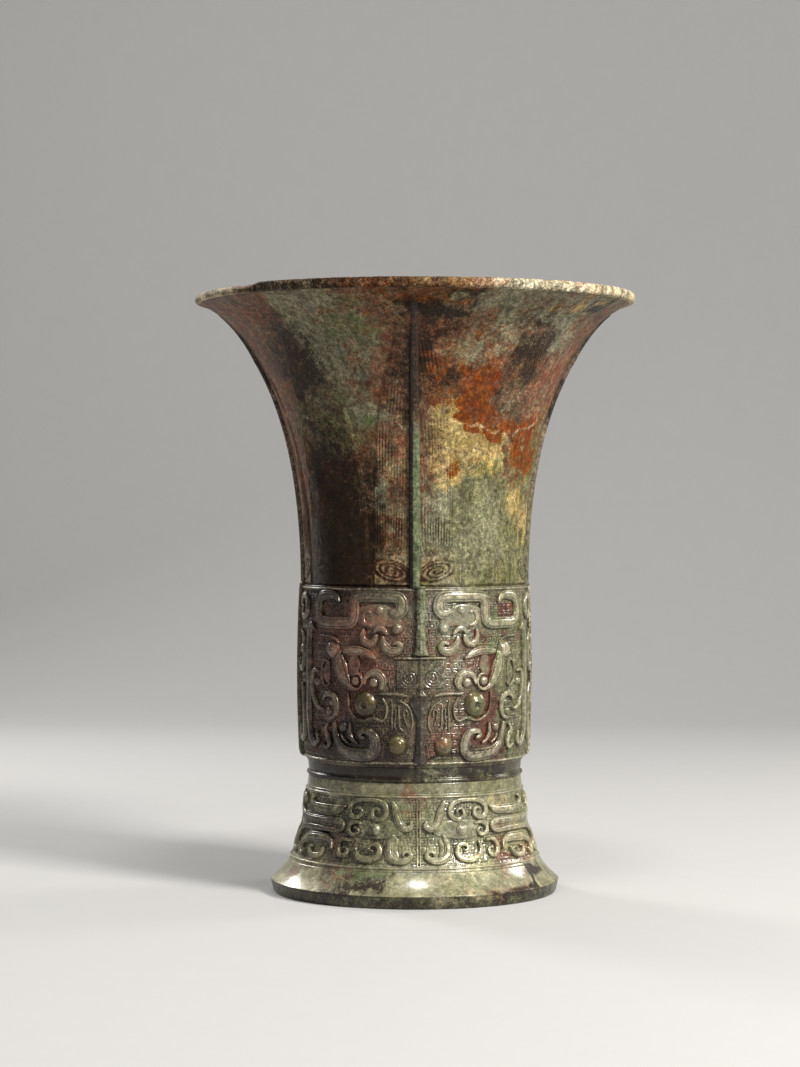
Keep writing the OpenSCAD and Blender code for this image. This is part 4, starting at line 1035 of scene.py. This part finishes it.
def raised_line(radius, z0, wide, rise, columns=480):
    """Half-round line that runs right round a wall."""
    turn = np.linspace(0, np.pi, 7)[:, None]
    lift = np.vstack([rise * np.sin(turn), [[-0.5], [-0.5]]])
    z = np.vstack([z0 - wide / 2 * np.cos(turn), [[z0 + wide / 2], [z0 - wide / 2]]])
    angle = np.linspace(-180, 180, columns, endpoint=False)[None, :]
    lift, z, angle = np.broadcast_arrays(lift, z, angle)
    return ring(on_wall(radius, angle, z, lift), lift)


lines = [raised_line(belly_radius, z, 1.0, 0.8) for z in (66.4, 147.8)]
lines += [scroll(BETWEEN, 0.8, belly_radius, belly_girth, BELLY_TURN + turn) for face, turn in FACES]
# worn on the border lines: rubbed bronze and a painted highlight
make_piece("lines_belly", lines, ["belly_borders"], "belly", {"worn": even(0.5)})
lines = [raised_line(foot_radius, z, 1.0, 0.7) for z in (17.6, 50.4)]
for turn in (0, 90, 180, 270):
    for s in (-0.7, 0.7):
        upright = [[s, z, 0.6] for z in (18.2, 34, 49.8)]
        lines.append(scroll(upright, 0.4, foot_radius, foot_girth, FOOT_TURN + turn))
# worn on the border lines: rubbed bronze and a painted highlight
make_piece("lines_foot", lines, ["foot_borders"], "foot", {"worn": even(0.5)})
print(totals)

# %% [markdown]
# ## The dragons over the mask
# In the upper band of the belly each quarter has a small dragon. Its body is one long band that runs as
# a squared coil: it starts in a hook beside the ridge, goes along the top, drops, and curls up again at
# the end. Under the head, which is a low plate, are an eye, a claw and a foot. Beside each side ridge
# stands an upright dragon in thinner bands.

# %% Upper dragons
SIDES = (("right", 1), ("left", -1))
PARTING = 0.8
DRAGON = [
    [[12.8, 137.4, 3.2], [10.6, 136.6, 4.4], [8.6, 138, 5], [8.2, 141.2, 5], [9.6, 143.8, 4.6],
     [13, 144.6, 4.4], [20, 144.7, 4.4], [28.6, 144.6, 4.4], [31.6, 143.6, 4.4], [32.6, 141, 4.4],
     [32.6, 135.6, 4.4], [33.6, 133, 4.4], [36.6, 131.9, 4.4], [44, 131.8, 4.4], [51.6, 131.9, 4.4],
     [55.4, 133.6, 4.2], [57, 137.4, 4], [56.4, 141.8, 4], [53.6, 144.4, 4], [48, 145, 3.4],
     [43.8, 144.4, 2.8], [41.4, 142, 1.4]],
    [[17.2, 125.4, 1.6], [16.8, 122.2, 3], [14.2, 119.4, 3.6], [10.8, 119, 3.4], [8.7, 121.2, 2.6],
     [10.4, 123, 1.9], [12.4, 122.2, 1.2]],
    [[20.6, 126.2, 1.6], [21.4, 124, 2.4], [23.4, 122.4, 2.9], [26.2, 123, 2.9], [27.6, 125.6, 2.4],
     [27.2, 128.8, 1.4]],
    [[23.4, 131, 1.2], [26.4, 131.9, 1.8], [27.5, 134.8, 2], [26, 137.6, 1.8], [23.4, 137.2, 1.2]],
    [[15.2, 127.2, 1.4], [17.2, 129.2, 2.2], [20, 129.6, 2.2], [21.2, 128, 1.4]]]
DRAGON_HEAD = [[[11.5, 132.8, 6], [17, 135.2, 10.5], [23.5, 135.4, 11.5], [27, 135.4, 9]]]
DRAGON_BOSSES = [[10.5, 129.6, 2.8, 1.8], [19, 138.2, 2.4, 2]]
SIDE = [
    [[60, 128.6, 1.4], [63.4, 130.4, 2.6], [65.6, 126, 3.6], [66, 114, 4], [65.6, 102, 4], [66.4, 90, 4],
     [65.4, 79, 3.4], [61.4, 73.6, 2.6], [57, 75.4, 2], [57.4, 79.4, 1.3]],
    [[79.6, 139.4, 1.2], [77.6, 143.4, 2.2], [73, 144, 2.8], [69.4, 141, 3], [69.6, 136.2, 2.8],
     [73.6, 133.8, 2.4], [76.8, 136.2, 1.8], [75.6, 139, 1.2]],
    [[76.6, 127.4, 1.4], [72.6, 123, 2.6], [72, 115.6, 3], [74.6, 109.4, 2.8], [79, 109.4, 2.2],
     [79.8, 113.4, 1.4]],
    [[74.6, 101.6, 1.4], [72.6, 94.6, 2.6], [72.6, 84.6, 3], [74.4, 76.6, 3], [79, 75.2, 2.4],
     [80.6, 79.4, 1.8], [78, 81.4, 1.2]]]
SIDE_BOSSES = [[76.4, 118.4, 2.4, 1.5]]


def belly_set(paths, bosses, turn, half, rise=1.5, line=0.45, wider=0.75):
    """Scrolls and domes of one half of the belly, on the front (turn 0) or the back (turn 180)."""
    start = BELLY_TURN + turn + half * math.degrees(PARTING / BELLY_GIRTH)
    at = {"radius": belly_radius, "girth": belly_girth, "turn": start, "half": half}
    return [scroll(p, rise, line=line, wider=wider, **at) for p in paths] + [boss(b, **at) for b in bosses]


def plain_set(paths, turn, half, rise):
    """Low plates or thin lines of one half of the belly, without engraving."""
    return belly_set(paths, [], turn, half, rise, 0.0, 0.0)


for face, turn in FACES:
    for side, half in SIDES:
        shapes = plain_set(DRAGON_HEAD, turn, half, 0.8) + belly_set(DRAGON, DRAGON_BOSSES, turn, half)
        make_piece(f"dragon_{face}_{side}", shapes, [f"{face}_dragon_{side}"], "mask")
        make_piece(f"upright_dragon_{face}_{side}", belly_set(SIDE, SIDE_BOSSES, turn, half),
                   [f"{face}_side_dragon_{side}"], "mask")
print(totals)

# %% [markdown]
# ## The mask
# The taotie mask is the heart of the design: two round eyes under big curled horns, a ridge for a nose
# with a diamond above it, nostrils, and a jaw that curls up into fangs. The mask has no lower jaw and
# stares at the drinker. Both halves are mirror images, so each group of motifs is built for the right
# and for the left. A group has raised bands, thin lines and bosses, and the horns and ears have a low
# plate as well.

# %% Mask, groups of motifs
MASK = {
    "horns": ([[[21, 115.6, 1.2], [24.6, 117.6, 2.8], [29.4, 119, 3.4], [34.4, 119, 3.4],
                [37.6, 118.6, 2]],
               [[26.6, 103.8, 1.4], [25.6, 106.8, 2.2], [22.4, 108.6, 3], [18.9, 107.6, 3.4],
                [17.3, 104.6, 3.2], [18, 101.8, 2.2]]],
              [],
              [[21.9, 104.2, 2.6, 1.9], [31.3, 104.7, 2.6, 1.9]]),
    "ears": ([[[40.6, 117.6, 2.4], [41, 114, 6], [39.8, 110, 7], [37.6, 105.8, 5], [34, 102, 2.2],
               [30.6, 100.8, 1.4], [28, 102.5, 1.2], [27.6, 105.4, 1.3], [29.2, 107.8, 1.4],
               [32.2, 108.1, 1]]],
             [[[41.4, 122.6, 0.9], [44.2, 124.6, 1], [48.8, 125.4, 1.1], [54.6, 125.6, 0.8]],
              [[47.8, 113.4, 0.9], [50.4, 114, 1.1], [52.7, 111.4, 1.2], [52.9, 106.6, 1.2],
               [51.5, 103, 1.2], [48.7, 101.9, 1.1], [46.9, 103.4, 0.8]]],
             [[45.5, 119.1, 4.4, 2.2], [49.6, 107.6, 2.2, 1]]),
    "eyelids": ([],
                [[[35.4, 99.2, 0.9], [35.3, 94, 1.1], [33.4, 89.2, 1.2], [28, 86.3, 1.2], [22, 87.5, 1.2],
                  [18, 86.2, 1.1], [15.7, 88.6, 1.1], [15.3, 93, 1.1], [17.2, 97, 0.9]],
                 [[5.8, 98.1, 1], [10, 98.9, 1.5], [15.5, 99, 1.4], [19.6, 98.8, 0.9]]],
                []),
    "nostrils": ([],
                 [[[4.4, 81.2, 0.8], [3.1, 84, 0.9], [3.2, 88.6, 0.9], [5, 93, 0.9], [9, 95.9, 0.8]],
                  [[7.6, 81.8, 0.8], [9.2, 83.6, 0.9], [9.4, 88.6, 0.9], [9.6, 93.4, 0.8]],
                  [[12.8, 82.4, 0.8], [12.9, 87.4, 0.9], [12.6, 92, 0.9], [13.2, 96.2, 0.8]],
                  [[5.4, 88.4, 0.6], [5.2, 90.6, 0.6], [6.4, 91.6, 0.6], [7.2, 90.2, 0.6],
                   [6.6, 86.6, 0.6], [5.6, 84.6, 0.5]],
                  [[11, 91.8, 0.6], [11, 88.6, 0.6], [11.4, 86.4, 0.5]],
                  [[10.8, 82.4, 0.5], [11.6, 84.2, 0.6], [10.9, 85.2, 0.5]]],
                 []),
    "jaws": ([[[27.2, 78, 1.4], [29.4, 79.2, 1.8], [28.4, 81, 2.1], [24.8, 81, 2.8], [21.8, 78.2, 3.8],
               [21.4, 73.6, 4.4], [23, 70.6, 4.8], [27, 70, 5], [32, 70.2, 4.8], [37.4, 71.2, 4.4],
               [41.4, 74.4, 3.6], [43.4, 79.4, 2.8], [44.2, 84.4, 1.6]],
              [[34.4, 84.6, 1.2], [34.8, 80.6, 2], [33.2, 77.4, 1.6], [30.8, 75.6, 1]],
              [[36, 75.6, 0.9], [38.4, 77.2, 1.2], [39.6, 79.4, 0.9]]],
             [],
             [[39.2, 82.6, 2.5, 1.6]]),
    "cheeks": ([[[51.5, 95.4, 1.2], [49.7, 97.6, 2], [45.9, 98, 2.4], [43.1, 95.2, 2.6], [42.7, 90.8, 2.4],
                 [44.3, 87.6, 2], [47.5, 86.2, 1.2]],
                [[55.4, 108.6, 1.2], [59.6, 108.8, 1.8], [61.6, 105, 2.2], [61.2, 99.4, 2.2],
                 [59.2, 94.4, 2.2], [55.6, 91.4, 1.8], [52.2, 90.8, 1.2]],
                [[48.6, 83.6, 1.2], [50.5, 80.6, 2.2], [48.7, 77.6, 2.4], [48, 74.6, 2.2],
                 [49.8, 72.4, 1.8], [52, 74, 1.2]]],
               [],
               [[46.5, 94, 1.6, 1.1], [48.1, 89.6, 1.9, 1.3], [58.2, 103.4, 2.2, 1.3]])}
BROAD = {
    "horns": [[[32, 116.6, 4], [32.4, 112.6, 7], [32.8, 109.4, 5.4]]],
    "ears": [[[48.5, 112.6, 2.4], [50, 108.2, 5.2], [49, 104, 2.6]]]}
THIN_RISE, FAINT_RISE, BROAD_RISE = 1.1, 0.7, 0.7


def bright_tops(angle, z, lift):
    """Extra wear on the tops of the highest bosses."""
    return 0.15 * (lift > 1.9)


def mask_shapes(part, turn):
    """Bands, bosses, thin lines and low plates of one group of motifs, for both halves of the face."""
    bands, thin, bosses = MASK[part]
    shapes = []
    for side, half in SIDES:
        shapes += belly_set(bands, bosses, turn, half)
        shapes += plain_set(thin, turn, half, FAINT_RISE if part == "nostrils" else THIN_RISE)
        shapes += plain_set(BROAD.get(part, []), turn, half, BROAD_RISE)
    return shapes


print("groups of the mask:", ", ".join(MASK))

# %% [markdown]
# Now the mask is put together. Eyes and nostrils are the largest bosses and have a finish of their own,
# smooth brown metal. So the kinds of patina that lie on the rest of the mask are taken off them.

# %% Mask, with eyes and nostrils
EYE, PUPIL = [27.6, 93.8, 6.2, 3.2], (-0.4, -0.4, 1.6, 0.9)
NOSTRIL = [11.2, 74.8, 4.8, 2.8]
CLEAN_EYE = {kind: even(-1) for kind in ("worn", "red", "lichen", "ochre", "green", "rust", "mauve")}


def right_mauve(angle, z, lift):
    """A little mauve on the right nostril."""
    return 0.1 * (angle > 0)


for face, turn in FACES:
    for part in MASK:
        make_piece(f"mask_{face}_{part}", mask_shapes(part, turn), [f"{face}_mask_{part}"],
                   "mask", {"worn": bright_tops})
    at = [(belly_radius, belly_girth, BELLY_TURN + turn, half) for side, half in SIDES]
    domes = [boss(NOSTRIL, *where, groove=0.2, loops=24) for where in at]
    make_piece(f"mask_{face}_nostril_domes", domes, [f"{face}_mask_nostrils"], "eye",
               {"dark": even(-1), "mauve": right_mauve, "worn": even(-0.2)})
    eyes = [boss(EYE, *where, pupil=PUPIL, loops=34, columns=72) for where in at]
    make_piece(f"mask_{face}_eyes", eyes, [f"{face}_mask_eyes"], "eye", CLEAN_EYE)
print(totals)

# %% [markdown]
# The nose, the diamond and the forehead are plates on the centre line. The nose is a keel that widens
# into the diamond, a low pyramid with a sunk outline. The forehead carries a pair of round spirals in a
# frame, and a low keel runs up between them.

# %% Mask, nose and forehead
BRIDGE_Z, WIDEST_Z, NOSE_TOP = 88, 95.6, 101.4
BROW_HALF, BROW_LOW, BROW_HIGH = 11.6, 101.3, 114.8
SPIRAL_PITCH = 1.5


def grid(s0, s1, z0, z1, columns, rows):
    """Grids of girth and height over a rectangle of the unrolled belly."""
    return np.broadcast_arrays(np.linspace(s0, s1, columns)[None, :], np.linspace(z0, z1, rows)[:, None])


def nose_dark(angle, z, lift):
    """Dark nose, and a little less on the forehead."""
    return np.where(z < 98, 0.7, 0.3)


side, z = grid(-1, 1, 66.4, 101.2, 25, 110)
diamond = np.where(z < WIDEST_Z, 2.0 + 3.8 * (z - BRIDGE_Z) / 7.6, 5.8 * (NOSE_TOP - z) / 5.8)
half = np.where(z < BRIDGE_Z, 2.0 + 1.4 * ((BRIDGE_Z - z) / 21.6) ** 2, diamond)
keel = 0.5 + 2.1 * (1 - np.abs(side)) ** 0.8 * np.clip(half / 3, 0, 1)
keel = keel - 0.3 * bell(np.abs(side) - 0.7, 0.09) * (z > 89)
plates = [(half * side, z, keel, 0.0)]
s, z = grid(-BROW_HALF, BROW_HALF, BROW_LOW, BROW_HIGH, 84, 54)
x, y = np.abs(s) - 5.6, z - 106.3
far = np.hypot(x, y)
spiral = hairlines(far - SPIRAL_PITCH * np.arctan2(y, x) / (2 * np.pi), SPIRAL_PITCH) * (far < 4.6)
frame_line = 0.6 * bell(np.maximum(np.abs(x) - 4.9, np.abs(y) - 4.9), 0.3) + 0.5 * bell(z - 113.2, 0.3)
engraved = np.maximum(spiral, np.minimum(frame_line, 1))
edge = np.minimum(BROW_HALF - np.abs(s), np.minimum(z - BROW_LOW, BROW_HIGH - z))
plates.append((s, z, 0.5 * ramp(edge, 0, 0.9) ** 0.5 - 0.4 * engraved, 0.9 * engraved))
side, z = grid(-1, 1, 100.9, 115.2, 13, 40)
plates.append((1.5 * side, z, 0.4 + 0.9 * (1 - np.abs(side)), 0.0))
for face, turn in FACES:
    shapes = [plate(BELLY_TURN + turn + np.degrees(s / BELLY_GIRTH), z, lift, belly_radius, groove)
              for s, z, lift, groove in plates]
    make_piece(f"mask_{face}_nose", shapes, [f"{face}_mask_nose"], "mask",
               {"dark": nose_dark, "worn": even(-0.25)})
print(totals)

# %% [markdown]
# ## The dragons on the foot
# Four dragons run round the foot in two pairs that face each other. Each has a hooked snout, a bottle
# horn with two spirals, an eye, claws, and a long double body that ends in two tails. Low plates lie
# under the head, the body and the foreleg.

# %% Foot dragons
FOOT = [
    [[12, 48.2, 1.4], [10.5, 44.6, 2.8], [9.6, 40.8, 3.2], [8, 37.4, 3.2], [5.2, 35.7, 3],
     [2.8, 36.8, 2.2], [3.2, 39, 1.3]],
    [[18.3, 42.9, 1], [18.6, 44.4, 1.3], [21, 44.6, 1.5], [22, 42, 1.8], [20, 39.8, 2], [16.6, 40.2, 2.2],
     [14.8, 43.2, 2.2], [16, 46.7, 2.2], [20, 48.5, 2], [25.3, 48.7, 1.8], [30.6, 48, 2],
     [33.9, 45.8, 2.2], [34.2, 42.4, 2.2], [31.8, 40.3, 2.1], [28.7, 40.8, 2], [27.4, 43, 1.8],
     [28.9, 44.9, 1.4], [30.8, 44.4, 1.1]],
    [[27.4, 37.6, 1.2], [31, 38, 1.8], [33.7, 36.4, 2], [33.8, 33.6, 2], [31.2, 32.1, 1.8],
     [28.7, 33.5, 1.6], [29.6, 35.4, 1.2], [31.2, 35.2, 0.9]],
    [[72.8, 25.2, 1.2], [71.8, 22.8, 1.8], [75, 21.2, 2.2], [78.2, 23.6, 2.6], [77.6, 28, 2.8],
     [73, 31.8, 2.6], [66, 33.4, 2.4], [56, 33.7, 2.3], [46, 33.6, 2.2], [40.6, 33.3, 2],
     [37.9, 34.2, 1.8], [37.3, 35.8, 1.8], [38.3, 37.3, 2.2], [41.4, 37.9, 2.8], [46, 37.9, 3],
     [56, 37.8, 3], [66, 37.8, 3], [73, 38.6, 3], [78, 41.2, 3], [79.4, 45, 2.6], [76.4, 47.6, 2.2],
     [72.8, 46.4, 1.8], [73.2, 44, 1.2]],
    [[11, 32.4, 1.6], [12.8, 28, 3], [12.6, 23.8, 3.4], [9.6, 21.2, 3], [5.6, 21, 2.6], [3, 22.9, 2.2],
     [3.9, 25.1, 1.8], [6, 24.7, 1.3], [6.3, 23.4, 1]],
    [[20.6, 25.1, 1.1], [22.6, 26.1, 1.5], [21.5, 28.1, 1.9], [18.5, 27.8, 2.1], [17.2, 24.8, 2.4],
     [18.9, 21.9, 2.6], [23.6, 21.1, 2.6], [27.6, 22.5, 2.4], [29.4, 26, 2], [28.4, 29.2, 1.2]],
    [[33, 29.4, 1.2], [36.4, 29.7, 1.9], [38.7, 27.4, 2.1], [38.2, 23.8, 2.1], [35.6, 22, 2],
     [33.3, 23.7, 1.7], [34, 25.9, 1.3], [35.8, 25.8, 1]],
    [[42.4, 25, 1.2], [44.2, 28.2, 2.4], [48.6, 29.5, 3.6], [55, 29.4, 4], [62, 28.8, 3.8], [67, 26.2, 3],
     [67.6, 22.6, 2.4], [64.6, 20.8, 1.8], [62.6, 22.6, 1.1]],
    [[47.4, 24.8, 1.1], [48.6, 21.9, 2], [52.6, 20.8, 2.2], [56.8, 21.8, 2], [57.8, 24.2, 1.5],
     [55.6, 25, 1]],
    [[37.4, 45, 1.4], [41, 43.4, 3.2], [48, 43, 3.8], [55, 43, 3.8], [61, 43.8, 3.2], [64.2, 46.4, 2.2],
     [61.6, 48.4, 1.4]]]
FOOT_BROAD = [
    [[9.5, 35.5, 7], [15, 35.4, 9], [22, 35.2, 9.5], [26, 35.4, 8.5]],
    [[40.5, 35.8, 6], [52, 35.7, 7.4], [66, 35.7, 7.4], [75, 37, 7]],
    [[10.6, 30, 4], [12, 26, 6.5], [10.6, 23, 5]]]
FOOT_EYE = [20.3, 35, 3.3, 2.6]
FOOT_PARTING = 0.5
for face, turn in FACES:
    for side, half in SIDES:
        start = FOOT_TURN + turn + half * math.degrees(FOOT_PARTING / FOOT_GIRTH)
        at = {"radius": foot_radius, "girth": foot_girth, "turn": start, "half": half}
        shapes = [scroll(path, 1.6, wider=0.6, square=5, **at) for path in FOOT]
        shapes += [scroll(path, 0.8, line=0.0, **at) for path in FOOT_BROAD]
        shapes.append(boss(FOOT_EYE, **at))
        make_piece(f"foot_beast_{face}_{side}", shapes, [f"foot_dragon_{face}_{side}"],
                   "foot")
print(totals)

# %% [markdown]
# ## The floor inside
# The dished floor and the square spacers left in it from the casting are hardly seen, so the CAD nodes
# stay and only get a dull, dark patina.

# %% Materials for the CAD nodes that stay
for node, finish in (("vessel_floor", "inner"), ("floor_spacers", "lip")):
    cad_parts[node].data.materials.clear()
    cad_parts[node].data.materials.append(MAT[finish])
    print("kept from CAD:", node)

# %% [markdown]
# ## The stage
# The vessel stands on a pale sweep of paper that curves up behind it. The paper's material looks at the
# kind of ray that meets it: to the camera, off metal and through glass it is a little brighter, and the
# light that it throws on the vessel stays weak, so the relief keeps its shadows.

# %% Paper sweep
STAGE_HALF, BEND_Y, BEND_R = 3.5, 1.0, 0.7
PAPER_GLOW = 0.1


def background_ray(tree):
    """One for the rays that see the background: from the camera, off metal and through glass."""
    path = add(tree, "ShaderNodeLightPath").outputs
    seen = path["Is Camera Ray"]
    for kind in ("Is Glossy Ray", "Is Transmission Ray"):
        seen = calc(tree, "MAXIMUM", seen, path[kind])
    return seen


bend = np.linspace(0.1, math.pi / 2, 14)
curve = np.stack([BEND_Y + BEND_R * np.sin(bend), BEND_R - BEND_R * np.cos(bend)], axis=-1)
run = np.concatenate([np.linspace([-3, 0], [BEND_Y, 0], 12), curve, [[1.7, 3.0]]])
wide = np.linspace(-STAGE_HALF, STAGE_HALF, 3)
verts = np.stack(np.broadcast_arrays(wide[None, :], run[:, :1], run[:, 1:]), axis=-1).reshape(-1, 3)
ids = np.arange(len(verts)).reshape(len(run), len(wide))
faces = np.stack([ids[:-1, :-1], ids[:-1, 1:], ids[1:, 1:], ids[1:, :-1]], axis=-1).reshape(-1, 4)
mesh = bpy.data.meshes.new("paper_sweep")
mesh.from_pydata(verts.tolist(), [], faces.tolist())
mesh.polygons.foreach_set("use_smooth", np.ones(len(faces), bool))
sweep = bpy.data.objects.new("paper_sweep", mesh)
bpy.context.scene.collection.objects.link(sweep)
paper = bpy.data.materials.new("paper")
paper.use_nodes = True
tree = paper.node_tree
sockets = tree.nodes["Principled BSDF"].inputs
place = add(tree, "ShaderNodeTexCoord").outputs["Object"]
grain = add(tree, "ShaderNodeTexNoise", [("Vector", place), ("Scale", 60.0), ("Detail", 4.0)]).outputs["Fac"]
tree.links.new(mixed(tree, grain, (0.43, 0.427, 0.42, 1), (0.45, 0.447, 0.44, 1)), sockets["Base Color"])
tree.links.new(calc(tree, "MULTIPLY", background_ray(tree), PAPER_GLOW), sockets["Emission Strength"])
sockets["Emission Color"].default_value = (1.0, 0.995, 0.985, 1)
sockets["Roughness"].default_value = 0.8
mesh.materials.append(paper)
print("stage:", sweep.name)

# %% [markdown]
# ## Light
# A soft key light comes from the right front, as in the photograph. A small lamp above the front gives
# the foot its highlight, a rim light comes from the left back, and an edge light from the right back.
# The world is pale for the rays that see it, and dim for the rest.

# %% Lamps and world
LAMPS = (("key", (0.95, -0.9, 1.05), (0, 0, 0.15), 0.35, 36, (1.0, 0.97, 0.93)),
         ("top", (0.05, -0.45, 1.35), (0, -0.05, 0.05), 0.2, 5, (1.0, 0.99, 0.97)),
         ("rim", (-0.65, 0.8, 0.65), (0, 0, 0.15), 0.25, 6, (1.0, 0.98, 0.95)),
         ("edge", (0.9, 0.4, 0.55), (0, 0, 0.18), 0.25, 4, (1.0, 0.97, 0.92)))
WORLD_DIM, WORLD_SEEN = 0.12, 0.32
for name, spot, aim, size, power, tint in LAMPS:
    data = bpy.data.lights.new(name, "AREA")
    data.size, data.energy, data.color = size, power, tint
    lamp = bpy.data.objects.new(name, data)
    bpy.context.scene.collection.objects.link(lamp)
    lamp.location = spot
    lamp.rotation_euler = (Vector(aim) - lamp.location).to_track_quat("-Z", "Y").to_euler()
world = bpy.data.worlds.new("studio")
bpy.context.scene.world = world
world.use_nodes = True
tree = world.node_tree
sockets = tree.nodes["Background"].inputs
sockets["Color"].default_value = (0.95, 0.95, 0.95, 1)
tree.links.new(mixed(tree, background_ray(tree), WORLD_DIM, WORLD_SEEN, "FLOAT"), sockets["Strength"])
print("lamps:", ", ".join(lamp[0] for lamp in LAMPS))

# %% [markdown]
# ## Camera
# The camera is low and far away, so that the lip is seen from just below. Its place was fitted to the
# outline of the vessel and to the ellipses of lip and foot, and its focal length comes from that fit,
# in pixels of the photograph.

# %% Camera
CAMERA_X, CAMERA_Y, CAMERA_Z = -0.00712, -1.3, 0.1855
TILT_DOWN, SWING = 0.522, math.radians(0.4)
FOCAL_PIXELS, PHOTO_PIXELS, SENSOR = 2662.8, 1067, 36.0
camera = bpy.data.objects.new("camera", bpy.data.cameras.new("camera"))
bpy.context.scene.collection.objects.link(camera)
camera.location = (CAMERA_X * math.cos(SWING) - CAMERA_Y * math.sin(SWING),
                   CAMERA_X * math.sin(SWING) + CAMERA_Y * math.cos(SWING), CAMERA_Z)
camera.rotation_euler = (math.radians(90 - TILT_DOWN), 0, SWING)
camera.data.sensor_width = SENSOR
camera.data.lens = FOCAL_PIXELS / PHOTO_PIXELS * SENSOR
camera.data.clip_start, camera.data.clip_end = 0.05, 20
bpy.context.scene.camera = camera
bpy.context.scene.view_settings.view_transform = "Standard"
print("camera lens:", round(camera.data.lens, 2), "mm")

# %% Finish
print("pieces:", totals["pieces"], "triangles:", totals["triangles"])
